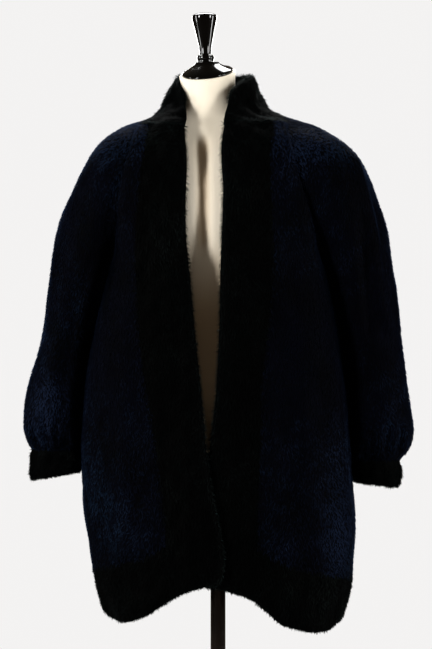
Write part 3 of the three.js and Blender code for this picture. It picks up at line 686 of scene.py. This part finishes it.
@dataclass
class Pile(Roots):
    """The tufts that stand on one shell, made as one piece.

    Share is how thickly each triangle is covered, and free tells the ones on a free edge. The
    clouds of light and dark are amounts with a noise's pitch, seed and stretch.
    """

    name: str
    nap: Nap
    seed: int
    shell: Mesh
    skin_normals: Array
    share: Array
    free: Array
    swirl_pitch: float = 0.09
    swirl_stretch: float = 1.6
    clouds: tuple[tuple, ...] = ((0.13, 0.15, 31, 1.5), (0.09, 0.035, 17, 1.3))
    darkest: float = 0.16
    variety: float = 0.48
    lightest: float = 0.88

    def grow(self) -> Object:
        """Grows the tufts.

        A tuft is a closed flat spike of four faces: three feet on a small ellipse and a tip.
        Its UV layer holds its lightness, painted light and shade included, and the height along it.

        Returns:
            The pile, as one object.
        """
        self.rng = np.random.default_rng(self.seed)
        self._root()
        vertices = self._stand()
        spike = np.array([[3, 1, 0], [3, 2, 1], [3, 0, 2], [0, 1, 2]])
        faces = (4 * np.arange(len(self.roots))[:, None, None] + spike).reshape(-1, 3)
        mesh = bpy.data.meshes.new(self.name)
        mesh.from_pydata(vertices, [], faces)
        mesh.polygons.foreach_set("use_smooth", np.ones(len(faces), dtype=bool))
        shade, height = self._shade(), np.array([0.0, 0.0, 0.0, 1.0])
        uv = np.stack([shade[faces // 4].ravel(), height[faces % 4].ravel()], axis=1)
        write_layer(mesh, "tuft", uv)
        mesh.update()
        steady = np.repeat(self.normals, 4, axis=0) * self.nap.even_normals
        own = read_normals(mesh) * (1 - self.nap.even_normals)
        mesh.normals_split_custom_set_from_vertices(unit(steady + own))
        return link(mesh, self.name)

    def _root(self) -> None:
        """Seeds the roots evenly over each triangle's area times its share."""
        nap, rng = self.nap, self.rng
        points, triangles = read_points(self.shell), read_triangles(self.shell)
        areas = 0.5 * np.linalg.norm(spans(points, triangles), axis=1)
        weight = areas * self.share
        count = int(weight.sum() / nap.spacing**2)
        steps = (np.arange(count) + rng.random(count)) * weight.sum() / count
        chosen = np.minimum(np.searchsorted(np.cumsum(weight), steps), len(triangles) - 1)
        r1, r2 = np.sqrt(rng.random(count)), rng.random(count)
        mix = np.stack([1 - r1, r1 * (1 - r2), r1 * r2], axis=1)[:, :, None]
        corners = triangles[chosen]
        self.roots = (points[corners] * mix).sum(axis=1)
        self.edge = self.free[chosen]
        own, skin = read_normals(self.shell)[corners], self.skin_normals[corners]
        self.normals = unit((np.where(self.edge[:, None, None], own, skin) * mix).sum(axis=1))
        reach = nearest_of(self.roots, points[triangles[self.free]].mean(axis=1))[1]
        near, far = (part * nap.edge_reach for part in nap.edge_fade)
        self.fluff = 1.0 - smoothstep(reach, near, far)
        self.under = smoothstep(-self.normals[:, 2], 0.3, 0.7)

    def _stand(self) -> Array:
        """Lays the tufts down the surface, rising from it by the nap's angle, a little wayward.

        On a free edge they stand out further, and on an underside they are shorter.

        Returns:
            The vertices, four a tuft: three feet and a tip.
        """
        nap, rng, roots, normals = self.nap, self.rng, self.roots, self.normals
        wander = rng.normal(size=(len(roots), 3)) * nap.spread
        seeds = range(self.seed, self.seed + 3)
        swirl = [waves(roots, self.swirl_pitch, seed, self.swirl_stretch) for seed in seeds]
        along = DOWN + wander + np.stack(swirl, axis=1) * nap.swirl
        along = unit(along - (along * normals).sum(axis=1, keepdims=True) * normals)
        rise = np.radians(nap.rise_deg) * rng.uniform(*nap.rises, len(roots))
        rise = rise * (1.0 + nap.fluff_rise * self.fluff)
        rise = np.where(self.edge, np.radians(nap.edge_rise_deg), rise)
        way = along * np.cos(rise)[:, None] + normals * np.sin(rise)[:, None]
        on_edge = nap.edge_length * (1.0 - nap.under_cut * self.under)
        length = np.where(self.edge, on_edge, nap.length * (1.0 - nap.fluff_cut * self.fluff))
        length = length * rng.uniform(*nap.lengths, len(roots))
        tips = roots + way * length[:, None]
        side = unit(np.cross(way, normals))
        other = unit(np.cross(side, way))
        angles = np.radians([90.0, 210.0, 330.0])
        width = np.where(self.edge, nap.edge_width, nap.width)[:, None, None]
        feet = (
            roots[:, None, :]
            + width * np.cos(angles)[None, :, None] * side[:, None, :]
            + width * nap.flatness * np.sin(angles)[None, :, None] * other[:, None, :]
        )
        return np.concatenate([feet, tips[:, None, :]], axis=1).reshape(-1, 3)

    def _shade(self) -> Array:
        """Makes each tuft a little different, in clouds, with painted highlights on topsides and
        painted light and shade in patches.

        Returns:
            Each tuft's lightness, from 0 to 1, the most at a free edge, where it is a painted
            highlight.
        """
        roots, rng = self.roots, self.rng
        clouds = sum(
            amount * waves(roots, pitch, self.seed + seed, stretch)
            for amount, pitch, seed, stretch in self.clouds
        )
        # painted highlight: tufts on upward-facing pile are painted lighter
        top_highlight = self.nap.top_highlight * smoothstep(self.normals[:, 2], 0.25, 0.8)
        # painted light and shade from the patches
        light_and_shade = sum(patch.lift(roots) for patch in LIGHT_AND_SHADE_PATCHES)
        shade = self.darkest + rng.random(len(roots)) * self.variety + clouds + top_highlight + light_and_shade
        shade = np.clip(shade, 0.0, self.lightest)
        # painted highlight: tufts near a free edge are painted lighter
        shade = np.maximum(shade, self.fluff * rng.uniform(0.6, 1.0, len(roots)))
        # painted highlight on the free-edge tufts, less where they face down
        lit = np.maximum(shade, 1.0 - self.nap.under_shade * self.under)
        return np.where(self.edge, lit, shade)


@dataclass(frozen=True)
class Crease:
    """A soft fold in a shell, seen along y: a line of (x, z) places that sinks in.

    A negative depth makes a ridge. The cloth swells a little, swell_at widths from the line.
    """

    node: str
    line: tuple[Pair, ...]
    depth: float
    width: float
    faces_back: bool = False
    swell: float = 0.5
    swell_at: float = 1.7

    def sink(self, points: Array, normals: Array) -> Array:
        """How far each place sinks: the depth times exp(-d^2), less the swell.

        D is the distance to the line, in widths. The fold fades where the surface turns away.

        Args:
            points: Places on the shell.
            normals: The outer face's normal at each.

        Returns:
            The depth at each place.
        """
        flat = points[:, [0, 2]]
        marks = np.array(self.line)
        nearest = np.full(len(points), np.inf)
        for start, end in zip(marks[:-1], marks[1:]):
            way = end - start
            share = np.clip(((flat - start) @ way) / (way @ way), 0.0, 1.0)
            away = np.linalg.norm(flat - start - share[:, None] * way, axis=1)
            nearest = np.minimum(nearest, away)
        d = nearest / self.width
        profile = np.exp(-(d**2)) - self.swell * np.exp(-((d - self.swell_at) ** 2))
        facing = normals[:, 1] if self.faces_back else -normals[:, 1]
        return self.depth * profile * smoothstep(facing, 0.05, 0.5)


CREASES = (
    Crease(
        "sleeve_left",
        ((0.271, 1.354), (0.294, 1.268), (0.308, 1.184), (0.324, 1.064), (0.338, 1.014)),
        -0.006,
        0.011,
    ),
    Crease("sleeve_left", ((0.285, 1.17), (0.292, 1.08), (0.3, 1.00)), 0.004, 0.01),
    Crease("sleeve_left", ((0.338, 0.815), (0.334, 0.765)), 0.004, 0.007),
    Crease("sleeve_left", ((0.366, 0.81), (0.362, 0.768)), 0.003, 0.006),
    Crease("sleeve_left", ((0.305, 0.8), (0.308, 0.765)), 0.003, 0.006),
    Crease("sleeve_left", ((0.3, 1.2), (0.315, 1.06), (0.325, 0.96)), 0.004, 0.014, True),
    Crease("sleeve_left", ((0.345, 0.815), (0.34, 0.77)), 0.003, 0.007, True),
    Crease("sleeve_left", ((0.318, 0.805), (0.316, 0.768)), 0.003, 0.006, True),
    Crease("sleeve_right", ((-0.2, 1.29), (-0.218, 1.195)), 0.003, 0.008),
    Crease("sleeve_right", ((-0.375, 0.82), (-0.361, 0.78)), 0.004, 0.006),
    Crease("sleeve_right", ((-0.345, 0.835), (-0.34, 0.785)), 0.003, 0.007),
    Crease("sleeve_right", ((-0.318, 0.82), (-0.32, 0.785)), 0.003, 0.006),
    Crease("sleeve_right", ((-0.305, 1.18), (-0.325, 1.04), (-0.335, 0.93)), 0.004, 0.014, True),
    Crease("sleeve_right", ((-0.35, 0.83), (-0.345, 0.785)), 0.003, 0.007, True),
    Crease("sleeve_right", ((-0.322, 0.82), (-0.322, 0.785)), 0.003, 0.006, True),
    Crease("front_left", ((0.124, 1.425), (0.132, 1.375), (0.138, 1.335)), 0.0025, 0.005),
    Crease("front_left", ((0.138, 1.425), (0.147, 1.37)), 0.0025, 0.005),
    Crease("front_left", ((0.205, 0.9), (0.218, 0.7), (0.222, 0.55)), 0.005, 0.02),
    Crease("front_right", ((-0.215, 0.92), (-0.222, 0.72), (-0.215, 0.56)), 0.005, 0.02),
    Crease("band_left", ((0.036, 1.452), (0.074, 1.436)), 0.0025, 0.007),
    Crease("collar", ((0.036, 1.452), (0.074, 1.436)), 0.0025, 0.007),
    Crease("back", ((-0.12, 1.05), (-0.15, 0.8), (-0.16, 0.56)), 0.006, 0.025, True),
    Crease("back", ((0.1, 1.08), (0.13, 0.85), (0.14, 0.56)), 0.006, 0.025, True),
    Crease("back", ((-0.01, 0.98), (-0.02, 0.75), (-0.01, 0.56)), 0.005, 0.022, True),
)


# ---------------- the coat
@dataclass(frozen=True)
class Cut:
    """One piece of the coat: the solid it follows, its cut size and how it is held.

    Flat is the cut's width and length, and free the ways that its free rims face.
    """

    node: str
    facing: Facing
    finish: FurFinish
    flat: Pair
    area: float
    free: tuple[Triple, ...] = ()
    held: Hold = Hold.HUNG
    rests_on: tuple[str, ...] = ("form",)

    @property
    def sharp_deg(self) -> float:
        """The bend from which an edge stays crisp, less for the narrow pieces."""
        return 50.0 if self.finish is BLUE_FUR else 35.0

    @property
    def nap(self) -> Nap:
        """The nap that goes with the piece's finish."""
        return SHEARED if self.finish is BLUE_FUR else LONGER


class Seams:
    """What a panel finds out about its shell, a stage at a time."""

    others: list["FurPanel"]
    shell: Object
    tree: BVHTree
    points: Array
    normals: Array
    triangles: Array
    large: Array  # triangles of the outer and the inner face
    skin: Array  # triangles of the outer face
    free: Array  # triangles of the free rims
    sewn: Array  # triangles of the sewn rims
    is_outer: Array  # whether each vertex is the outer face's
    border: Array  # its vertices at a rim
    border_seam: Array  # its vertices at a sewn rim
    rim_side: Array  # the rims' other vertices
    seam: Array  # border_seam, where it meets a neighbour
    joined: Array  # the normals shared there
    inland: Array  # how far each vertex is from a seam, from 0 to 1
    near_seam: Array  # how near it is to one


@dataclass
class FurPanel(Seams):
    """A soft shell on one cloth solid, with its pile.

    Cut_out, part, match, sew and build run in that order, each for all panels at a time.
    """

    cut: Cut
    seed: int
    inset: float = 0.003
    thickness: float = 0.0105
    sway: float = 0.0014
    sway_pitch: float = 0.10
    lump_pitch: float = 0.032
    neck_axis: Pair = (-0.012, 0.0)
    neck_lean: float = 0.7
    arm_top: float = 1.24
    arm_slices: int = 18
    underarm: float = 1.12
    press: float = 1.7
    neck_seam: float = 1.415
    neck_round: float = 0.005
    neck_reach: float = 0.032
    neck_cover: float = 4.0
    neck_cover_reach: float = 0.006
    collar_cover: Pair = (1.44, 1.47)
    collar_top: Pair = (1.445, 1.475)
    fat_rim: float = 0.005
    roll: float = 0.0035
    roll_reach: float = 0.014
    rim_cover: float = 2.8
    large_share: float = 0.12
    seam_reach: float = 0.012
    lap: float = 0.0010
    beside: float = 0.0012

    def outside(self, points: Array) -> Array:
        """The way out from the coat's or the neck's axis, or from the sleeve's own middle.

        Args:
            points: Places on the shell.

        Returns:
            Unit vectors, one a place.
        """
        out = points.copy()
        if self.cut.facing is Facing.ARM:
            heights = np.minimum(points[:, 2], self.arm_top)
            marks = np.linspace(points[:, 2].min(), points[:, 2].max(), self.arm_slices)
            near = np.abs(points[:, 2][:, None] - marks[None]) < (marks[1] - marks[0])
            middle = (near[:, :, None] * points[:, None, :2]).sum(axis=0)
            middle = middle / near.sum(axis=0)[:, None]
            out[:, 0] -= np.interp(heights, marks, middle[:, 0])
            out[:, 1] -= np.interp(heights, marks, middle[:, 1])
            out[:, 2] -= heights
            return unit(out)
        out[:, 2] = 0.0
        if self.cut.facing is Facing.NECK:
            out[:, :2] -= self.neck_axis
            out = unit(out) + (0.0, 0.0, self.neck_lean)
        return unit(out)

    def outer_normals(self, points: Array) -> Array:
        """The vertices' normals from the outer face alone, so a rim doesn't turn them."""
        total = summed_normals(points, self.triangles[self.skin])
        return np.where(self.is_outer[:, None], unit(total), read_normals(self.shell.data))

    def against(self) -> Array:
        """How far each vertex faces a sleeve, or the body, below the underarm.

        Returns:
            A number from 0 to press. Above 1 the pile there is pressed out into the gap.
        """
        toward = self.normals[:, 0] * np.sign(self.points[:, 0])
        toward = -toward if self.cut.facing is Facing.ARM else toward
        below = 1.0 - smoothstep(self.points[:, 2], self.underarm, self.underarm + 0.05)
        return self.press * smoothstep(toward, 0.1, 0.6) * below

    def cut_out(self) -> None:
        """Makes the bare shell, and finds its large faces and which of them looks outward."""
        cut = self.cut
        self.shell, numbers = smooth_copy(cut.node, "fur_" + cut.node, cut.sharp_deg, cut.free)
        self.points = read_points(self.shell.data)
        self.triangles = read_triangles(self.shell.data)
        crossed = spans(self.points, self.triangles)
        centres = self.points[self.triangles].mean(axis=1)
        size = np.bincount(numbers, np.linalg.norm(crossed, axis=1))
        lean = np.bincount(numbers, (crossed * self.outside(centres)).sum(axis=1))
        large = size > self.large_share * size.sum()
        self.large = large[numbers]
        self.skin = (large & (lean > 0.0))[numbers]
        self.tree = BVHTree.FromPolygons(self.points.tolist(), self.triangles.tolist())

    def part(self) -> None:
        """Finds the rims: the narrow faces, and what lies against the other pieces."""
        centres = self.points[self.triangles].mean(axis=1)
        touching = np.zeros(len(centres), dtype=bool)
        for other in self.others:
            low = other.points.min(axis=0) - self.beside
            high = other.points.max(axis=0) + self.beside
            near = np.flatnonzero(((centres > low) & (centres < high)).all(axis=1))
            found = (other.tree.find_nearest(place, self.beside)[0] for place in centres[near])
            touching[near] |= np.array([place is not None for place in found], dtype=bool)
        self.skin &= ~touching
        rims = touching | ~self.large
        faces = unit(spans(self.points, self.triangles))
        self.free = np.zeros(len(centres), dtype=bool)
        for way in self.cut.free:
            self.free |= rims & (faces @ np.array(way) > 0.5)
        self.sewn = rims & ~self.free
        self.is_outer = self._touched(self.skin)
        self.border = np.flatnonzero(self.is_outer & self._touched(rims))
        self.border_seam = np.flatnonzero(self.is_outer & self._touched(self.sewn))
        self.rim_side = np.flatnonzero(~self.is_outer & self._touched(rims))
        self.normals = self.outer_normals(self.points)

    def _touched(self, chosen: Array) -> Array:
        """Which vertices belong to any of the chosen triangles."""
        touched = np.zeros(len(self.points), dtype=bool)
        touched[self.triangles[chosen]] = True
        return touched

    def match(self) -> None:
        """Adds each neighbour's nearest normal at the seams, less the further off it is.

        All the pieces that meet at a corner so come to one normal, and close up.
        """
        total = self.normals[self.border_seam].copy()
        met = np.zeros(len(total), dtype=bool)
        for other in self.others:
            which, away = nearest_of(self.points[self.border_seam], other.points[other.border_seam])
            near = 1.0 - smoothstep(away, 0.3 * self.seam_reach, self.seam_reach)
            total += other.normals[other.border_seam][which] * near[:, None]
            met |= near > 0.0
        self.seam = self.border_seam[met]
        self.joined = unit(total[met])

    def sew(self) -> None:
        """Takes the matched normals, and blends the ones near them."""
        self.normals[self.seam] = self.joined
        which, away = nearest_of(self.points, self.points[self.seam])
        self.inland = smoothstep(away, 0.0, self.seam_reach)
        self.near_seam = 1.0 - smoothstep(away, 1.2 * self.thickness, 1.6 * self.thickness)
        share = (self.is_outer * (1.0 - self.inland))[:, None]
        self.normals = unit(self.normals * (1.0 - share) + self.joined[which] * share)

    def build(self, materials: dict[str, tuple]) -> Object:
        """Args:
            materials: Under-fur and pile materials by finish name.

        Returns:
            The shell.
        """
        cut, shell = self.cut, self.shell
        skin, tips = materials[cut.finish.name]
        moved = self.points + self._move()
        write_points(shell.data, moved)
        cover_with(shell, skin)
        pile = self._pile(moved, tips)
        put_in_place(shell, cut.node)
        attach(pile, "root")
        LOG.info("%s: %d faces", pile.name, len(pile.data.polygons))
        return shell

    def _rise(self) -> Array:
        """How far the outer face rises along its normals: it sinks by the pile's depth and waves.

        Returns:
            One height a vertex, with lumps, creases and the free rims' rolled lip.
        """
        points, inland = self.points, self.inland
        rise = self.sway * waves(points, self.sway_pitch, 3, 1.8)
        rise += inland * self.cut.nap.lump * waves(points, self.lump_pitch, 5, 1.4)
        rise -= self.inset * (1.0 - self.against())
        for crease in CREASES:
            if crease.node == self.cut.node:
                rise -= inland * crease.sink(points, self.normals)
        if self.cut.facing is not Facing.NECK:
            rim = points[self.triangles[self.free]].mean(axis=1)
            lip = np.maximum(0.0, 1.0 - nearest_of(points, rim)[1] / self.roll_reach)
            rise -= self.roll * lip**2
        return rise

    def _move(self) -> Array:
        """How the shell moves: the outer face rises, the rims follow, and sewn rims lap.

        Returns:
            One vector a vertex.
        """
        points = self.points
        move = self.normals * self._rise()[:, None]
        from_seam = np.abs(points[:, 2] - self.neck_seam) / self.neck_reach
        in_front = smoothstep(-points[:, 1], 0.015, 0.05)
        move[:, 1] += self.neck_round * (np.maximum(0.0, 1.0 - from_seam) ** 2 * in_front)
        move[~self.is_outer] = 0.0
        which, away = nearest_of(points[self.rim_side], points[self.border])
        follows = np.maximum(0.0, 1.0 - away / self.thickness)
        move[self.rim_side] = move[self.border[which]] * follows[:, None]
        edges = unit(summed_normals(points, self.triangles[self.sewn]))
        move += edges * self.lap * self.near_seam[:, None]
        if self.cut.facing is Facing.NECK:
            top = smoothstep(points[:, 2], *self.collar_top)
            move += read_normals(self.shell.data) * self.fat_rim * top[:, None]
        return move

    def _pile(self, moved: Array, tips: Material) -> Object:
        """Grows the pile, denser on the free edges and at the neck's seam.

        Args:
            moved: The shell's vertices.
            tips: The pile's material.

        Returns:
            The pile.
        """
        share = np.where(self.free, self.rim_cover, self.skin.astype(float))
        heights = moved[self.triangles][:, :, 2].mean(axis=1)
        from_seam = (heights - self.neck_seam) / self.neck_cover_reach
        share *= 1.0 + self.neck_cover * np.exp(-(from_seam**2))
        if self.cut.facing is Facing.NECK:
            share = np.maximum(share, smoothstep(heights, *self.collar_cover))
        own = self.outer_normals(moved)
        keep = np.where(self.is_outer, 1.0 - self.inland, 0.0)[:, None]
        normals = unit(own * (1.0 - keep) + self.normals * keep)
        name, mesh = "pile_" + self.cut.node, self.shell.data
        pile = Pile(name, self.cut.nap, self.seed, mesh, normals, share, self.free).grow()
        cover_with(pile, tips)
        return pile


@dataclass
class Coat:
    """The whole coat: its cuts, sewn edge to edge."""

    cuts: tuple[Cut, ...] = (
        Cut("back", Facing.TORSO, BLUE_FUR, (0.62, 0.93), 0.46),
        Cut("front_right", Facing.TORSO, BLUE_FUR, (0.25, 0.89), 0.17),
        Cut("front_left", Facing.TORSO, BLUE_FUR, (0.26, 0.91), 0.18),
        Cut("sleeve_right", Facing.ARM, BLUE_FUR, (0.60, 0.72), 0.30, held=Hold.GATHERED),
        Cut("sleeve_left", Facing.ARM, BLUE_FUR, (0.60, 0.74), 0.32, held=Hold.GATHERED),
        Cut("band_right", Facing.TORSO, BLACK_FUR, (0.11, 0.95), 0.10, ((1, 0, 0), (0, 0, -1))),
        Cut("band_left", Facing.TORSO, BLACK_FUR, (0.11, 0.95), 0.10, ((-1, 0, 0), (0, 0, -1))),
        Cut("hem_right", Facing.TORSO, BLACK_FUR, (0.26, 0.12), 0.028, ((0, 0, -1),)),
        Cut("hem_left", Facing.TORSO, BLACK_FUR, (0.30, 0.12), 0.033, ((0, 0, -1),)),
        Cut("hem_back", Facing.TORSO, BLACK_FUR, (0.66, 0.12), 0.075, ((0, 0, -1),)),
        Cut("cuff_right", Facing.ARM, BLACK_FUR, (0.33, 0.06), 0.018, ((0, 0, -1),)),
        Cut("cuff_left", Facing.ARM, BLACK_FUR, (0.33, 0.06), 0.018, ((0, 0, -1),)),
        Cut("collar", Facing.NECK, BLACK_FUR, (0.52, 0.12), 0.055, ((0, 0, 1),)),
    )

    def build(self) -> list[Object]:
        """Makes every piece of the coat.

        Returns:
            The shells, in the order of the cuts.
        """
        materials = {f.name: (f.skin(), f.tips()) for f in (BLUE_FUR, BLACK_FUR)}
        panels = [FurPanel(cut, 100 + 7 * k) for k, cut in enumerate(self.cuts)]
        for panel in panels:
            panel.others = [other for other in panels if other is not panel]
        for stage in (FurPanel.cut_out, FurPanel.part, FurPanel.match, FurPanel.sew):
            for panel in panels:
                stage(panel)
        return [panel.build(materials) for panel in panels]


# ---------------- the form and its stand
@dataclass
class DressForm:
    """The limbless form with its neck cap, finial, pole and base."""

    parts: tuple[tuple[str, str, LacquerFinish, float], ...] = (
        ("neck_cap", "turned_wood", BLACK_LACQUER, 40.0),
        ("finial", "turned_wood", BLACK_LACQUER, 50.0),
        ("pole", "pole_metal", BROWN_ENAMEL, 50.0),
        ("base", "base_metal", BROWN_ENAMEL, 40.0),
    )
    cover_sharp_deg: float = 50.0
    hollow_middle: float = -0.029
    hollow_width: float = 0.010
    hollow_depth: float = 0.012
    hollow_heights: Pair = (1.13, 1.395)
    hollow_fades: Pair = (0.06, 0.035)
    # painted shade: how dark the cover is painted in the hollow, and on the front below these
    # heights
    hollow_shade: float = 0.75
    low_shade: float = 0.85
    low_shade_heights: Pair = (1.02, 1.22)

    def build(self) -> list[Object]:
        """Makes the form's cover and the turned and cast parts.

        Returns:
            The new pieces.
        """
        cover, _ = smooth_copy("form", "form_cover", self.cover_sharp_deg)
        self._hollow(cover.data)
        cover_with(cover, JERSEY.material())
        made = [put_in_place(cover, "form")]
        finishes = {f.name: f.material() for f in (BLACK_LACQUER, BROWN_ENAMEL)}
        for node, slot, finish, sharp_deg in self.parts:
            piece, _ = smooth_copy(node, "smooth_" + node, sharp_deg)
            cover_with(piece, finishes[finish.name])
            made.append(put_in_place(piece, node))
        return made

    def _hollow(self, mesh: Mesh) -> None:
        """Deepens the hollow between the form's breasts, and marks where shade is painted on the
        cover: in the hollow and lower down the front.

        Args:
            mesh: The cover's mesh, whose marks are kept as a UV layer.
        """
        points = read_points(mesh)
        heights = points[:, 2]
        low, high = self.hollow_heights
        above, below = self.hollow_fades
        window = smoothstep(heights, low, low + above)
        window = window * (1.0 - smoothstep(heights, high - below, high))
        across = np.exp(-(((points[:, 0] - self.hollow_middle) / self.hollow_width) ** 2))
        front = smoothstep(-read_normals(mesh)[:, 1], 0.1, 0.5)
        points[:, 1] += self.hollow_depth * across * window * front
        # painted shade: the front is painted darker towards the bottom, and in the hollow
        lower = self.low_shade * (1.0 - smoothstep(heights, *self.low_shade_heights)) * front
        painted_shade = np.maximum(self.hollow_shade * across * window * front, lower)
        write_points(mesh, points)
        loops = np.zeros(len(mesh.loops), dtype=int)
        mesh.loops.foreach_get("vertex_index", loops)
        write_layer(mesh, "hollow", np.stack([painted_shade[loops], np.zeros(len(loops))], axis=1))


# ---------------- studio
@dataclass(frozen=True)
class Softbox:
    """One large soft light, aimed at a point, in metres and watts."""

    name: str
    place: Triple
    width: float
    height: float
    power: float
    aim: Triple = (0.0, 0.0, 1.1)

    def build(self) -> None:
        """Puts the light in the scene."""
        data = bpy.data.lights.new(self.name, "AREA")
        data.shape = "RECTANGLE"
        data.size = self.width
        data.size_y = self.height
        data.energy = self.power
        light = link(data, self.name)
        light.location = self.place
        aim = Vector(self.aim) - Vector(self.place)
        light.rotation_euler = aim.to_track_quat("-Z", "Y").to_euler()


@dataclass
class Studio:
    """Camera, soft lights and a pale floor."""

    eye: Triple = (-0.004, -4.5, 1.015)
    view_height: float = 1.298
    sensor: float = 36.0
    floor_radius: float = 2.2
    floor_middle: float = 0.02
    rings: int = 12
    spokes: int = 64
    pale: Colour = (0.42, 0.415, 0.41)
    surround: Colour = (0.90, 0.89, 0.885)
    fill: float = 0.07
    fill_colour: Colour = (1.0, 0.78, 0.55)
    lights: tuple[Softbox, ...] = (
        Softbox("softbox_right", (-2.48, -2.12, 1.75), 0.55, 1.4, 122.0),
        Softbox("softbox_left", (2.68, -1.86, 1.75), 0.5, 1.4, 84.0),
        Softbox("side_right", (-3.2, -0.35, 1.7), 0.4, 1.8, 50.0),
        Softbox("side_left", (3.2, -0.35, 1.2), 0.4, 1.6, 45.0),
        Softbox("back_right", (-0.9, 3.4, 1.7), 0.8, 1.6, 80.0),
        Softbox("back_left", (1.1, 3.3, 1.9), 0.8, 1.6, 60.0),
        Softbox("softbox_top", (0.0, 0.9, 3.0), 1.6, 1.0, 90.0, aim=(0.0, 0.0, 1.3)),
    )

    def build(self) -> None:
        """Sets up the studio."""
        self._camera()
        self._floor()
        self._sky()
        for light in self.lights:
            light.build()

    def _camera(self) -> None:
        """A level long lens, so heights read true."""
        data = bpy.data.cameras.new("camera")
        data.sensor_width = self.sensor
        data.lens = self.sensor * -self.eye[1] / self.view_height
        camera = link(data, "camera")
        camera.location = self.eye
        camera.rotation_euler = (math.pi / 2, 0.0, 0.0)
        bpy.context.scene.camera = camera

    def _floor(self) -> None:
        """A round pale floor: a disc of rings, r by angle, at height zero."""
        rings, spokes = self.rings, self.spokes
        radius = np.linspace(self.floor_middle, self.floor_radius, rings)
        angle = np.linspace(0.0, math.tau, spokes, endpoint=False)
        circle = np.stack([np.cos(angle), np.sin(angle), np.zeros(spokes)], axis=1)
        points = (radius[:, None, None] * circle[None]).reshape(-1, 3)
        r, s = np.meshgrid(np.arange(rings - 1), np.arange(spokes), indexing="ij")
        inner, outer, t = r * spokes, (r + 1) * spokes, (s + 1) % spokes
        quads = np.stack([inner + s, outer + s, outer + t, inner + t], axis=2).reshape(-1, 4)
        mesh = bpy.data.meshes.new("floor")
        mesh.from_pydata(points, [], [*quads.tolist(), list(range(spokes))])
        floor = link(mesh, "floor")
        shader = Shader("pale_floor")
        cloud = shader.noise(scale=3.0, detail=2.0)
        darker = tuple(0.97 * value for value in self.pale)
        shader.paint(shader.ramp(cloud, [(0.3, darker), (0.7, self.pale)]))
        shader.constant(Roughness=0.8)
        mesh.materials.append(shader.material)

    def _sky(self) -> None:
        """An even pale surround, bright to look at and dim as a light."""
        world = bpy.data.worlds.new("surround")
        world.use_nodes = True
        nodes = Nodes(world.node_tree)
        seen = nodes.node("ShaderNodeLightPath").outputs["Is Camera Ray"]
        colour = nodes.node("ShaderNodeMix", data_type="RGBA")
        colour.inputs["A"].default_value = (*self.fill_colour, 1.0)
        colour.inputs["B"].default_value = (*self.surround, 1.0)
        strength = nodes.node("ShaderNodeMapRange", To_Min=self.fill, To_Max=1.0)
        background = world.node_tree.nodes["Background"].inputs
        nodes.join(seen, colour.inputs["Factor"])
        nodes.join(seen, strength.inputs["Value"])
        nodes.join(colour.outputs["Result"], background["Color"])
        nodes.join(strength.outputs["Result"], background["Strength"])
        bpy.context.scene.world = world
        bpy.context.scene.view_settings.view_transform = "Standard"


def main() -> None:
    """Builds the studio, the coat and the form in order, and reports each piece."""
    logging.basicConfig(level=logging.INFO, format="%(name)s %(message)s")
    Studio().build()
    Coat().build()
    DressForm().build()


if __name__ == "__main__":
    main()
